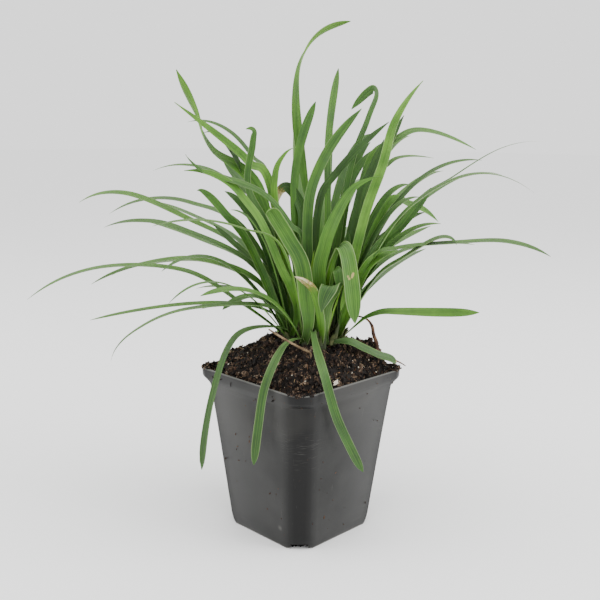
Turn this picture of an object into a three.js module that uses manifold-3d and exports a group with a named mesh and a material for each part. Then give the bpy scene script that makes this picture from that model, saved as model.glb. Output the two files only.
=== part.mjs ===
// Liriope, a tufted evergreen perennial, growing in a small square nursery pot.
// Millimetres, +Z up. The pot stands on Z = 0 with its axis on the Z axis and its sides along X and Y.

import * as THREE from "three";
import Module from "manifold-3d";
import { mergeVertices } from "three/addons/utils/BufferGeometryUtils.js";

const wasm = await Module();
wasm.setup();

// ---------------------------------------------------------------- Driving sizes

const FIT_GAP = 0.3; // clearance between pieces that touch

const POT_HEIGHT = 98;
const RIM_WIDTH = 90;
const SHOULDER_WIDTH = 85.2; // the body just under the lip
const BASE_WIDTH = 67;
const WALL = 1.3;
const FLOOR = 4.6;
const LIP_DEPTH = 8.2;
const RIM_CORNER = 10; // radius of the lip's round corners
const BODY_CORNER = 9.4; // leg of the body's corner chamfers
const FLARE_FOOT = 52; // above this height the four faces swing out to meet the rim
const FLARE = 2.8; // what that adds to the width at the lip's foot, while the chamfers stay in plane
const CORNER_STEPS = 5;

const NOTCH_WIDTH = 11.4; // drain notch in the foot of each corner
const NOTCH_HEIGHT = 3.2;
const NOTCH_REACH = 17;
const DRAIN_HOLE = 7;

const SOIL_EDGE = 96; // height where the soil meets the wall
const SOIL_HEAP = 20.5; // rise of the heap over its edge
const SOIL_GRID = 19;

const CROWN = [7, -2]; // middle of the clump, across and away from the pot's axis
const PLANT_TURN = Math.PI / 4; // the plant faces the pot's +X -Y corner
const OUTER_RING = 14.8;
const INNER_RING = 5.5;
const STUB_RADIUS = 3.8;
const STUB_NECK = 2.5;
const STUB_SIDES = 10;
const SOCKET_FLOOR = 101;
const SOCKET_REACH = 60; // a cutter for a hole in the soil runs out over the heap
const STUB_TOP = 123;
const FOOT_HEIGHT = 116; // where the leaves of a tuft part from its stub
const FOOT_OFFSET = 1.5; // each leaf starts this far from the stub's axis, on the side that it leans to

const STALK_PLAY = 0.4; // more clearance, as the stalk leans in its hole

const BLADE_THICKNESS = 1.0; // along the midrib
const SWELL_PART = 0.35; // a blade reaches its full width at this part of its length
const TIP_PART = 0.12; // the tip ends at this part of the width
const WELD = 0.005; // edges shorter than this are closed up where leaves fuse
const KEEL_PART = 0.16; // rise of the two edges over the midrib, as a part of the half width
const SPANS_PER_PLACE = 2.5;
const FEWEST_SPANS = 6;

// ---------------------------------------------------------------- Leaves
// Each tuft stands at a bearing round the crown. One row is one leaf: its width, its twist in degrees at the
// foot and at the tip, how blunt its tip is, its neck (the foot's width in tenths of the full width), and the
// places that its midrib passes on the way to the tip, in the plant's own frame: [across, away, up].

const TUFTS = [
  {
    name: "heart_right",
    ring: INNER_RING,
    bearing: 30,
    leaves: [
      [5.8, 268, -62, 9, 5, [3, 8, 189], [-4, 14, 252], [2, 12, 284], [26, 5, 298]],
      [6.4, 80, 80, 10, 5, [14, 6, 183], [14, 10, 232], [20, 14, 273]],
      [5.2, 60, 118, 12, 5, [26, 12, 209], [37, 15, 244], [42, 16, 258], [39, 16, 261], [28, 14, 250]],
      [5.3, 80, 80, 5, 5, [15, 18, 188], [17, 36, 229], [17, 48, 258]],
      [5.3, 60, 50, 4, 5, [17, 20, 183], [29, 42, 221], [44, 56, 236]],
    ],
  },
  {
    name: "heart_left",
    ring: INNER_RING,
    bearing: 150,
    leaves: [
      [6.8, 80, 80, 10, 5, [-5, 2, 183], [-4, 4, 221], [7, 8, 254]],
      [6.4, -40, -60, 7, 5, [-19, -4, 178], [-32, -4, 205], [-29, -7, 230], [-28, -8, 237],
        [-32, -11, 238]],
      [5.0, 40, 30, 2, 5, [-15, -5, 190], [-16, -4, 213], [-11, -4, 224], [-4, -3, 228]],
      [5.3, 80, 80, 4, 5, [-3, 12, 182], [-6, 34, 226], [-4, 50, 257]],
      [6.4, -60, -80, 8, 5, [0, 3, 174], [0, 4, 190], [-4, 4, 200], [-9, 4, 205], [-13, 3, 203],
        [-14, 1, 197]],
    ],
  },
  {
    name: "heart_front",
    ring: INNER_RING,
    bearing: 270,
    leaves: [
      [6.0, 75, 60, 4, 5, [3, -8, 184], [10, -6, 218], [33, 0, 250]],
      [5.0, 50, 30, 4, 5, [9, -2, 190], [20, 2, 214], [50, 12, 243]],
      [5.4, 80, 80, 4, 6, [5, -14, 142], [6, -14, 158], [7, -13, 171]],
    ],
  },
  {
    name: "fan_right",
    ring: OUTER_RING,
    bearing: 10,
    leaves: [
      [5.3, 60, 45, 4, 5, [29, 6, 180], [40, 12, 209], [60, 25, 247]],
      [5.6, 20, 30, 5, 5, [37, 14, 212], [55, 20, 232], [73, 26, 238], [106, 34, 227]],
      [5.0, 15, 15, 4, 5, [58, 15, 197], [108, 25, 221]],
      [4.9, 25, 30, 5, 5, [40, 2, 185], [63, 10, 207]],
      [5.4, 15, 20, 4, 5, [44, 0, 180], [69, 5, 200]],
      [4.9, 50, 60, 5, 5, [48, 15, 191], [66, 23, 194], [84, 30, 183]],
      [5.6, 60, 60, 5, 5, [25, -2, 155], [27, 0, 180]],
      [5.0, 20, 20, 4, 5, [35, 8, 161], [58, 20, 181], [76, 30, 189]],
      [5.9, 45, 35, 5, 5, [38, 2, 160], [52, 6, 175], [64, 9, 192]],
      [5.6, 70, 60, 4, 5, [32, 2, 193], [40, 4, 215], [47, 8, 233]],
    ],
  },
  {
    name: "fan_right_back",
    ring: OUTER_RING,
    bearing: 50,
    leaves: [
      [4.9, 50, 40, 4, 5, [24, 18, 193], [41, 32, 231]],
      [5.0, 50, 40, 4, 5, [25, 14, 190], [32, 18, 214], [47, 28, 228]],
      [3.8, 15, 15, 4, 5, [42, 29, 203], [52, 35, 217], [63, 44, 222], [84, 56, 221]],
      [4.4, 10, 10, 4, 5, [40, 25, 203], [69, 60, 235]],
      [2.4, 10, 0, 0, 7, [63, 28, 188], [95, 40, 211], [126, 52, 228], [154, 62, 232]],
      [5.4, 10, 0, 2, 5, [47, 28, 167], [75, 62, 191], [110, 92, 208], [141, 112, 208]],
      [5.4, 10, 10, 4, 5, [42, 28, 175], [69, 58, 202], [94, 80, 212]],
      [4.9, 0, 10, 4, 5, [45, 32, 152], [76, 62, 163], [120, 92, 161]],
      [4.9, 10, 10, 4, 5, [41, 30, 155], [61, 56, 166], [87, 80, 175]],
      [5.2, 40, 30, 5, 5, [32, 28, 179], [47, 54, 208], [54, 70, 228]],
      [5.5, 0, 0, 5, 5, [41, 34, 139], [61, 62, 150], [85, 84, 159]],
    ],
  },
  {
    name: "fan_back",
    ring: OUTER_RING,
    bearing: 90,
    leaves: [
      [5.4, 20, 0, 4, 5, [-3, 38, 162], [-5, 76, 180], [-5, 108, 186]],
      [5.6, 10, 0, 4, 5, [0, 38, 175], [-2, 76, 211], [-3, 108, 217]],
      [5.1, 0, 0, 5, 5, [12, 38, 175], [17, 76, 204], [20, 108, 209]],
      [5.5, -20, 0, 2, 5, [22, 36, 175], [34, 74, 200], [43, 106, 204]],
      [4.9, 0, 0, 4, 5, [-3, 42, 154], [-8, 88, 164], [-12, 122, 162]],
      [5.8, 0, 0, 5, 5, [9, 42, 155], [11, 90, 172], [13, 130, 173]],
      [5.1, 0, 0, 4, 5, [20, 42, 154], [30, 88, 169], [36, 122, 168]],
      [5.2, 0, 0, 4, 5, [1, 42, 136], [-3, 88, 137], [-6, 122, 118]],
      [5.3, 0, 0, 5, 5, [16, 42, 136], [22, 88, 137], [27, 120, 121]],
      [5.1, 0, 0, 7, 3, [12, 34, 119], [16, 56, 110], [19, 69, 84], [20, 72, 50]],
      [5.4, 0, 0, 4, 5, [21, 40, 129], [30, 72, 127], [36, 92, 112]],
      [5.4, 0, 0, 6, 3, [-4, 34, 119], [-12, 54, 111], [-17, 68, 88], [-18, 72, 60]],
    ],
  },
  {
    name: "fan_left_back",
    ring: OUTER_RING,
    bearing: 130,
    leaves: [
      [5.0, 0, -35, 4, 5, [-33, 11, 164], [-70, 23, 184], [-111, 38, 198], [-143, 50, 191]],
      [5.2, -15, -20, 4, 5, [-34, 10, 178], [-69, 30, 193], [-98, 42, 194], [-124, 52, 184]],
      [4.2, -15, -10, 4, 5, [-24, 8, 188], [-49, 22, 210], [-72, 34, 216], [-94, 44, 212]],
      [6.0, -60, -50, 1, 5, [-19, 7, 204], [-31, 8, 218], [-43, 9, 229], [-75, 12, 253]],
      [7.4, -290, 100, 5, 5, [-24, 8, 200], [-54, 14, 226], [-64, 18, 248], [-75, 22, 272]],
      [4.0, -20, -20, 5, 5, [-19, 15, 204], [-31, 25, 222], [-43, 32, 235], [-57, 36, 242], [-71, 38, 242]],
      [4.8, -30, -20, 4, 5, [-35, 10, 212], [-60, 20, 235]],
      [5.0, -10, -10, 4, 5, [-22, 25, 141], [-63, 60, 152], [-108, 92, 145], [-137, 108, 134]],
      [5.2, -10, 0, 4, 5, [-27, 24, 153], [-67, 58, 167], [-104, 84, 175]],
      [5.0, -10, 0, 4, 5, [-34, 34, 164], [-75, 72, 182], [-113, 100, 189]],
      [5.6, -20, 0, 5, 5, [-21, 34, 186], [-42, 60, 203], [-67, 84, 210]],
      [6.2, -50, -40, 4, 5, [-25, 34, 193], [-41, 60, 206], [-53, 74, 218]],
      [5.2, 0, 0, 4, 5, [-16, 31, 126], [-42, 60, 124], [-70, 78, 116]],
      [4.9, -20, -10, 5, 5, [-11, 30, 157], [-21, 58, 176], [-28, 86, 181]],
    ],
  },
  {
    name: "fan_left",
    ring: OUTER_RING,
    bearing: 170,
    leaves: [
      [3.8, -20, -20, 4, 6, [-23, 0, 133], [-63, -10, 138], [-121, -20, 130]],
      [5.0, -25, -20, 4, 5, [-26, -2, 150], [-62, 4, 162], [-98, 12, 157], [-129, 18, 144]],
      [5.4, -5, -22, 2, 5, [-36, -6, 138], [-71, 0, 156], [-126, 15, 154], [-172, 28, 132]],
      [4.9, -20, -20, 4, 5, [-29, 0, 159], [-72, 10, 179], [-98, 18, 183], [-122, 26, 178]],
      [5.4, -45, -30, 9, 5, [-24, 5, 174], [-46, 10, 202]],
      [5.2, -15, -15, 4, 5, [-45, -5, 161], [-81, -10, 157]],
      [5.3, -30, -20, 5, 5, [-15, 1, 149], [-37, 6, 168], [-53, 12, 182]],
      [5.5, -10, 0, 4, 5, [-19, -3, 139], [-44, 5, 145], [-64, 12, 143]],
    ],
  },
  {
    name: "fan_left_front",
    ring: OUTER_RING,
    bearing: 210,
    leaves: [
      [5.6, 0, -35, 8, 3, [-12, -17, 126], [-36, -26, 123], [-49, -31, 92], [-57, -30, 44]],
      [5.5, -25, 20, 2, 5, [-18, -18, 138], [-62, -45, 142], [-88, -60, 133], [-99, -66, 119]],
      [5.4, -20, -20, 6, 5, [-23, -14, 142], [-44, -30, 139]],
      [6.2, -65, -40, 9, 5, [-30, -10, 171], [-45, -15, 192], [-54, -16, 202], [-59, -17, 204]],
      [5.6, -70, -45, 2, 6, [-3, -15, 135], [-7, -16, 150], [-12, -15, 160], [-23, -14, 185],
        [-32, -15, 198], [-41, -16, 208], [-53, -17, 214], [-66, -18, 215]],
      [5.2, -30, -40, 2, 5, [0, -8, 172], [-7, -9, 184], [-15, -10, 195], [-24, -12, 203],
        [-35, -14, 208], [-45, -15, 211], [-56, -17, 215], [-61, -18, 219], [-65, -18, 224]],
      [3.4, -10, 0, 2, 6, [-41, -30, 153], [-72, -45, 145]],
      [4.6, -20, -20, 4, 5, [-21, -16, 174], [-40, -22, 194]],
      [5.8, -75, -60, 5, 5, [-4, -13, 157], [-8, -13, 173], [-13, -13, 189]],
    ],
  },
  {
    name: "fan_front_left",
    ring: OUTER_RING,
    bearing: 250,
    leaves: [
      [5.0, 0, -45, 8, 3, [-1, -23, 121], [-10, -32, 118], [-19, -47, 101], [-23, -47, 78], [-26, -44, 53]],
      [9.2, -132, -150, 10, 5, [4, -19, 128], [3, -21, 143], [0, -24, 165], [-7, -27, 179],
        [-13, -29, 189], [-17, -32, 195], [-20, -36, 193]],
      [5.3, -20, -20, 4, 5, [-22, -30, 147], [-55, -42, 149]],
      [5.0, 0, 0, 4, 5, [-11, -24, 172], [-32, -28, 184], [-56, -32, 189], [-81, -36, 186]],
    ],
  },
  {
    name: "fan_front_right",
    ring: OUTER_RING,
    bearing: 290,
    leaves: [
      [8.0, 80, 50, 0, 7, [10, -19, 156], [13, -20, 174], [17, -20, 186], [24, -17, 200], [31, -15, 208],
        [44, -13, 213]],
      [6.2, 30, 40, 8, 2, [26, -17, 118], [35, -15, 114], [45, -13, 109], [52, -9, 106], [57, -6, 103]],
      [5.2, 0, 50, 9, 5, [7, -22, 125], [8, -32, 119], [12, -50, 109], [15, -53, 99], [20, -51, 83],
        [29, -44, 62], [36, -38, 47]],
      [9.6, -20, 52, 6, 6, [17, -14, 155], [20, -16, 169], [23, -20, 173], [26, -26, 163], [30, -30, 132]],
      [5.4, 0, 40, 8, 5, [16, -17, 140], [18, -20, 158], [20, -24, 160], [21, -27, 151]],
      [11.6, 0, 15, 1, 5, [12, -21, 138], [17, -25, 150], [16, -29, 152], [13, -32, 147], [11, -34, 139]],
      [5.2, 0, 40, 3, 6, [11, -24, 129], [9, -28, 142], [6, -31, 151], [1, -33, 156], [-4, -35, 159]],
      [2.8, 0, 60, 5, 6, [22, -15, 146], [25, -19, 154], [25, -23, 152], [22, -26, 138]],
    ],
  },
  {
    name: "fan_right_front",
    ring: OUTER_RING,
    bearing: 330,
    leaves: [
      [5.6, 70, 60, 1, 5, [34, -12, 185], [45, -10, 219], [52, -6, 244], [68, 5, 266]],
      [6.3, 45, 35, 7, 5, [40, -8, 166], [57, -8, 184], [74, -2, 206]],
      [5.3, 20, 5, 0, 5, [47, -12, 177], [71, -16, 204], [100, -20, 215], [127, -26, 205]],
      [5.2, 25, 20, 4, 5, [48, -5, 169], [81, 0, 185]],
      [5.2, 20, 15, 5, 5, [39, -20, 165], [53, -28, 174], [83, -40, 179], [108, -50, 181], [128, -60, 175]],
      [6.2, 35, 10, 5, 5, [41, -22, 155], [56, -30, 169], [74, -36, 181], [83, -40, 178]],
      [5.5, 0, 70, 5, 2, [28, -12, 123], [33, -14, 128], [38, -15, 132], [46, -20, 136], [56, -23, 137],
        [78, -28, 138], [99, -31, 139]],
      [7.8, 60, 45, 7, 5, [34, -20, 156], [43, -20, 168], [54, -18, 172]],
    ],
  },
];

// Two dead stalks beside the crown: radius, then the places that each one passes, up from its hole.
const DEAD_STALKS = [
  {
    name: "dry_stalk",
    radius: 0.8,
    sides: 8,
    places: [[5, -28, 104], [5, -28, 110], [5, -28, 114], [1, -31, 117], [-5, -34, 121], [-11, -36, 125],
      [-18, -38, 130]],
  },
  {
    name: "dead_stalk",
    radius: 0.9,
    sides: 6,
    places: [[45, -2, 104], [45, -2, 113], [43, -2, 119], [42, -2, 124], [39, -2, 128], [34, 2, 129],
      [29, 4, 128]],
  },
];

// ---------------------------------------------------------------- Materials

function material(color, roughness, side = THREE.FrontSide) {
  return new THREE.MeshStandardMaterial({ color, roughness, metalness: 0, side });
}

const POT_BLACK = material(0x35363a, 0.45);
const PEAT_BROWN = material(0x2a1c14, 0.95);
const LEAF_GREEN = material(0x4f7a3a, 0.5);
const DEAD_BEIGE = material(0xa68a5e, 0.8);

// ---------------------------------------------------------------- Solids

function toSolid(geometry) {
  const bare = geometry.clone();
  bare.deleteAttribute("normal");
  bare.deleteAttribute("uv");
  const welded = mergeVertices(bare, 1e-4);
  const vertProperties = new Float32Array(welded.attributes.position.array);
  const triVerts = new Uint32Array(welded.index.array);
  return new wasm.Manifold(new wasm.Mesh({ numProp: 3, vertProperties, triVerts }));
}

function toGeometry(solid) {
  const mesh = solid.getMesh();
  const geometry = new THREE.BufferGeometry();
  geometry.setAttribute("position", new THREE.BufferAttribute(mesh.vertProperties, 3));
  geometry.setIndex(new THREE.BufferAttribute(mesh.triVerts, 1));
  geometry.computeVertexNormals();
  return geometry;
}

function namedMesh(name, solid, look) {
  const mesh = new THREE.Mesh(toGeometry(solid), look);
  mesh.name = name;
  return mesh;
}

// A closed skin over rings that each hold the same number of points, with a fan over the first and the last.
function loft(rings) {
  const count = rings[0].length;
  const points = rings.flat();
  const index = [];
  for (let ring = 0; ring + 1 < rings.length; ring++) {
    for (let i = 0; i < count; i++) {
      const a = ring * count + i;
      const b = ring * count + ((i + 1) % count);
      index.push(a, b, b + count, a, b + count, a + count);
    }
  }
  for (const [ring, turned] of [[0, true], [rings.length - 1, false]]) {
    const middle = points.length;
    const sum = new THREE.Vector3();
    rings[ring].forEach((point) => sum.add(point));
    points.push(sum.divideScalar(count));
    for (let i = 0; i < count; i++) {
      const a = ring * count + i;
      const b = ring * count + ((i + 1) % count);
      index.push(...(turned ? [b, a, middle] : [a, b, middle]));
    }
  }
  const geometry = new THREE.BufferGeometry().setFromPoints(points);
  geometry.setIndex(index);
  return toSolid(geometry);
}

// ---------------------------------------------------------------- Pot

// A square outline at one height. Its corners run from a flat chamfer (roundness 0) to an arc (roundness 1).
function squareRing(z, width, corner, roundness) {
  const half = width / 2;
  const inner = half - corner;
  const upright = new THREE.Vector3(0, 0, 1);
  const ring = [];
  for (let quarter = 0; quarter < 4; quarter++) {
    for (let step = 0; step <= CORNER_STEPS; step++) {
      const part = step / CORNER_STEPS;
      const angle = (part * Math.PI) / 2;
      const x = THREE.MathUtils.lerp(half - corner * part, inner + corner * Math.cos(angle), roundness);
      const y = THREE.MathUtils.lerp(inner + corner * part, inner + corner * Math.sin(angle), roundness);
      ring.push(new THREE.Vector3(x, y, z).applyAxisAngle(upright, (quarter * Math.PI) / 2));
    }
  }
  return ring;
}

const LIP_FOOT = POT_HEIGHT - LIP_DEPTH;
const SOFT = 0.18; // the chamfers bulge slightly

function bodyWidth(z) {
  return THREE.MathUtils.lerp(BASE_WIDTH, SHOULDER_WIDTH, z / LIP_FOOT);
}

function flare(z) {
  return FLARE * Math.max(0, (z - FLARE_FOOT) / (LIP_FOOT - FLARE_FOOT)) ** 2;
}

// The body's outline at one height, drawn in by the wall and a clearance where those are given.
function bodyRing(z, drawnIn = 0) {
  return squareRing(z, bodyWidth(z) + flare(z) - 2 * drawnIn, BODY_CORNER + flare(z), SOFT);
}

// The wall's inner face, up from the floor, pushed inwards by a clearance.
function cavityRings(clearance) {
  const drawnIn = WALL + clearance;
  const mouth = RIM_WIDTH - 2 * drawnIn;
  const floor = bodyRing(FLOOR, drawnIn).map((point) => point.setZ(FLOOR + clearance));
  const wall = [FLARE_FOOT, 66, 79, LIP_FOOT - 0.5].map((z) => bodyRing(z, drawnIn));
  return [
    floor,
    ...wall,
    squareRing(LIP_FOOT + 5.4, mouth - 0.4, RIM_CORNER - 0.5, 1),
    squareRing(POT_HEIGHT + 1, mouth, RIM_CORNER - WALL, 1),
  ];
}

function makePot() {
  const outside = [
    squareRing(0, BASE_WIDTH - 0.8, BODY_CORNER + 1.4, SOFT),
    squareRing(3, bodyWidth(3) - 0.2, BODY_CORNER + 0.5, SOFT),
    ...[8, FLARE_FOOT, 66, 79, LIP_FOOT].map((z) => bodyRing(z)),
    squareRing(LIP_FOOT + 3.7, RIM_WIDTH - 0.4, RIM_CORNER, 1),
    squareRing(POT_HEIGHT - 0.7, RIM_WIDTH, RIM_CORNER, 1),
    squareRing(POT_HEIGHT, RIM_WIDTH - 0.9, RIM_CORNER - 0.4, 1),
  ];
  let pot = loft(outside).subtract(loft(cavityRings(0)));
  const cornerReach = BASE_WIDTH / Math.SQRT2;
  for (let corner = 0; corner < 4; corner++) {
    const turn = 45 + 90 * corner;
    const notch = wasm.Manifold.cube([NOTCH_REACH, NOTCH_WIDTH, 2 * NOTCH_HEIGHT], true)
      .translate([cornerReach - BODY_CORNER / Math.SQRT2 - NOTCH_REACH / 2 + 4, 0, 0])
      .rotate([0, 0, turn]);
    const hole = wasm.Manifold.cylinder(3 * FLOOR, DRAIN_HOLE / 2, DRAIN_HOLE / 2, 16, true)
      .translate([cornerReach - NOTCH_REACH - 1.5, 0, 0])
      .rotate([0, 0, turn]);
    pot = pot.subtract(notch).subtract(hole);
  }
  return pot;
}

// ---------------------------------------------------------------- Soil

// Turns a place in the plant's frame to the pot's frame.
function placed([across, away, up]) {
  const cos = Math.cos(PLANT_TURN);
  const sin = Math.sin(PLANT_TURN);
  return new THREE.Vector3(across * cos - away * sin, across * sin + away * cos, up);
}

function bump(x, y, [across, away], rise, spread) {
  const top = placed([across, away, 0]);
  const distance = Math.hypot(x - top.x, y - top.y) / spread;
  return rise * Math.exp(-distance * distance);
}

function soilHeight(x, y) {
  const half = RIM_WIDTH / 2 - WALL;
  const reach = Math.pow(Math.pow(Math.abs(x) / half, 4) + Math.pow(Math.abs(y) / half, 4), 0.25);
  const heap = SOIL_HEAP * (1 - Math.pow(Math.min(reach, 1), 3.6));
  const clods = 1.0 * Math.sin(0.33 * x + 0.21 * y + 1) * Math.sin(0.29 * y - 0.17 * x);
  const crumbs = 0.6 * Math.sin(0.93 * x - 0.61 * y) * Math.sin(0.84 * y + 0.42 * x + 2);
  const lump = bump(x, y, [44, 2], 7.5, 9) + bump(x, y, [-19, 8], 2.0, 8) + bump(x, y, [-30, 0], -3.5, 9);
  return SOIL_EDGE + heap + clods + crumbs + lump;
}

// What a round foot needs cut out of the soil.
function socketCutter(radius) {
  return wasm.Manifold.cylinder(SOCKET_REACH, radius + FIT_GAP, radius + FIT_GAP, STUB_SIDES);
}

function makeSoil() {
  const half = RIM_WIDTH / 2 + 1;
  const rows = [];
  for (let i = 0; i <= SOIL_GRID; i++) {
    for (let j = 0; j <= SOIL_GRID; j++) {
      const x = half * ((2 * i) / SOIL_GRID - 1);
      const y = half * ((2 * j) / SOIL_GRID - 1);
      rows.push(new THREE.Vector3(x, y, soilHeight(x, y)));
    }
  }
  const across = SOIL_GRID + 1;
  const index = [];
  for (let i = 0; i < SOIL_GRID; i++) {
    for (let j = 0; j < SOIL_GRID; j++) {
      const a = i * across + j;
      index.push(a, a + across, a + across + 1, a, a + across + 1, a + 1);
    }
  }
  const rim = [];
  for (let i = 0; i < SOIL_GRID; i++) rim.push(i * across);
  for (let j = 0; j < SOIL_GRID; j++) rim.push(SOIL_GRID * across + j);
  for (let i = SOIL_GRID; i > 0; i--) rim.push(i * across + SOIL_GRID);
  for (let j = SOIL_GRID; j > 0; j--) rim.push(j);
  const middle = rows.length;
  rows.push(new THREE.Vector3(0, 0, 0));
  const skirt = rows.length;
  rim.forEach((corner) => rows.push(rows[corner].clone().setZ(0)));
  rim.forEach((corner, i) => {
    const next = (i + 1) % rim.length;
    index.push(corner, skirt + i, skirt + next, corner, skirt + next, rim[next]);
    index.push(skirt + next, skirt + i, middle);
  });
  const geometry = new THREE.BufferGeometry().setFromPoints(rows);
  geometry.setIndex(index);
  const heap = toSolid(geometry);

  const rings = cavityRings(FIT_GAP);
  const above = rings[rings.length - 1].map((point) => point.clone().setZ(POT_HEIGHT + 60));
  let soil = loft([...rings, above]).intersect(heap);
  for (const tuft of TUFTS) {
    const { x, y } = tuftCentre(tuft);
    soil = soil.subtract(socketCutter(STUB_RADIUS).translate([x, y, SOCKET_FLOOR]));
  }
  for (const { radius, places } of DEAD_STALKS) {
    const { x, y, z } = placed(places[0]);
    soil = soil.subtract(socketCutter(radius + STALK_PLAY).translate([x, y, z - FIT_GAP]));
  }
  return soil;
}

// ---------------------------------------------------------------- Blades

// A smooth course through given places, carried on past both ends so that it keeps its bend there.
function course(places, spans) {
  const last = places.length - 1;
  const beyond = (end, next, third) => end.clone().multiplyScalar(3).addScaledVector(next, -3).add(third);
  const before = beyond(places[0], places[1], places[2]);
  const after = beyond(places[last], places[last - 1], places[last - 2]);
  const all = [before, ...places, after];
  const points = [];
  for (let step = 0; step <= spans; step++) {
    const along = (last * step) / spans;
    const i = Math.min(Math.floor(along), last - 1);
    const t = along - i;
    const point = new THREE.Vector3();
    for (const axis of ["x", "y", "z"]) {
      const [a, b, c, d] = all.slice(i, i + 4).map((place) => place[axis]);
      const bend = 2 * a - 5 * b + 4 * c - d;
      point[axis] = 0.5 * (2 * b + (c - a) * t + bend * t * t + (3 * b - a - 3 * c + d) * t ** 3);
    }
    points.push(point);
  }
  return points;
}

function smoothRise(value) {
  const t = THREE.MathUtils.clamp(value, 0, 1);
  return t * t * (3 - 2 * t);
}

// A long blade with a slight keel: four points a section, and both faces split alike.
function blade(centre, [width, footTwist, tipTwist, bluntness, neck, ...places]) {
  const stops = places.map(placed);
  const lean = stops[stops.length - 1].clone().sub(centre).setZ(0).normalize();
  stops.unshift(centre.clone().addScaledVector(lean, FOOT_OFFSET).setZ(FOOT_HEIGHT));
  const spans = Math.max(FEWEST_SPANS, Math.round(SPANS_PER_PLACE * places.length));
  const rib = course(stops, spans);
  const reach = rib[spans].clone().sub(rib[0]).setZ(0).normalize();
  const level = new THREE.Vector3(-reach.y, reach.x, 0);
  const lengths = [0];
  for (let i = 1; i <= spans; i++) lengths.push(lengths[i - 1] + rib[i].distanceTo(rib[i - 1]));
  const rings = rib.map((point, i) => {
    const part = lengths[i] / lengths[spans];
    const along = rib[Math.min(i + 1, spans)].clone().sub(rib[Math.max(i - 1, 0)]).normalize();
    const flat = level.clone().addScaledVector(along, -level.dot(along)).normalize();
    const twist = THREE.MathUtils.degToRad(THREE.MathUtils.lerp(footTwist, tipTwist, part));
    const side = flat.applyAxisAngle(along, twist);
    const face = along.clone().cross(side);
    const swell = THREE.MathUtils.lerp(neck / 10, 1, smoothRise(part / SWELL_PART));
    const taper = 1 - Math.pow(Math.max(0, 2 * part - 1), 2 + 1.2 * bluntness);
    const half = 0.5 * width * swell * Math.max(taper, TIP_PART);
    const keel = KEEL_PART * half;
    const left = point.clone().addScaledVector(side, -half).addScaledVector(face, keel);
    const right = point.clone().addScaledVector(side, half).addScaledVector(face, keel);
    const top = point.clone().addScaledVector(face, BLADE_THICKNESS / 2);
    const under = point.clone().addScaledVector(face, -BLADE_THICKNESS / 2);
    return [left, under, right, top];
  });
  return loft(rings);
}

function tuftCentre({ ring, bearing }) {
  const angle = THREE.MathUtils.degToRad(bearing);
  return placed([CROWN[0] + ring * Math.cos(angle), CROWN[1] + ring * Math.sin(angle), 0]);
}

function polygonRing(centre, z, radius) {
  return Array.from({ length: STUB_SIDES }, (_, i) => {
    const angle = (2 * Math.PI * i) / STUB_SIDES;
    return new THREE.Vector3(centre.x + radius * Math.cos(angle), centre.y + radius * Math.sin(angle), z);
  });
}

// A tuft: the stub of overlapping leaf bases, sunk in its socket, with its leaves rooted in it.
function makeTuft(tuft) {
  const centre = tuftCentre(tuft);
  const stub = loft([
    polygonRing(centre, SOCKET_FLOOR + FIT_GAP, STUB_RADIUS),
    polygonRing(centre, STUB_TOP - 6, STUB_RADIUS),
    polygonRing(centre, STUB_TOP, STUB_NECK),
  ]);
  const fused = wasm.Manifold.union([stub, ...tuft.leaves.map((leaf) => blade(centre, leaf))]);
  // sealed pinholes between leaves come out of decompose() as shells of negative volume, and are filled
  return wasm.Manifold.compose(fused.simplify(WELD).decompose().filter((shell) => shell.volume() > 0));
}

function makeStalk({ radius, sides, places }) {
  const outline = new THREE.Shape();
  outline.absarc(0, 0, radius, 0, 2 * Math.PI);
  const extrudePath = new THREE.CatmullRomCurve3(places.map(placed));
  const steps = 2 * places.length;
  const settings = { steps, curveSegments: sides / 2, bevelEnabled: false, extrudePath };
  return toSolid(new THREE.ExtrudeGeometry(outline, settings));
}

// ---------------------------------------------------------------- Assembly

const liriope = new THREE.Group();
liriope.add(namedMesh("pot", makePot(), POT_BLACK));
liriope.add(namedMesh("soil", makeSoil(), PEAT_BROWN));
for (const tuft of TUFTS) liriope.add(namedMesh(tuft.name, makeTuft(tuft), LEAF_GREEN));
for (const stalk of DEAD_STALKS) liriope.add(namedMesh(stalk.name, makeStalk(stalk), DEAD_BEIGE));

export default liriope;
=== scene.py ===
"""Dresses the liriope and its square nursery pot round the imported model."""

import math
import random

import bmesh
import bpy
import numpy as np
from mathutils import Matrix, Vector, noise


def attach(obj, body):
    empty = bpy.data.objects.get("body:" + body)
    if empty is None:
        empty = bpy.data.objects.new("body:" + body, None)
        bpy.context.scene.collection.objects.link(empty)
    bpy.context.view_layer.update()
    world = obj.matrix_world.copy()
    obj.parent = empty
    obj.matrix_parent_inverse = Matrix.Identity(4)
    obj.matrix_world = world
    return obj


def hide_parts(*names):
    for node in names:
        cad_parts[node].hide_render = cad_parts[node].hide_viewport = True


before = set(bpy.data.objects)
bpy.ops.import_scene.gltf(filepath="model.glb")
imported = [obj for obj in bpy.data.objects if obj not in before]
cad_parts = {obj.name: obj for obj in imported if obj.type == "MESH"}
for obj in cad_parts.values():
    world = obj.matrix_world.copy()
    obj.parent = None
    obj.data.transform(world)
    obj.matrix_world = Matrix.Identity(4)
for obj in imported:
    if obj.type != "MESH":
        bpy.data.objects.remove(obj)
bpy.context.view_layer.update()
MM = 0.001

# ---- Sizes, in millimetres

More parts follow.
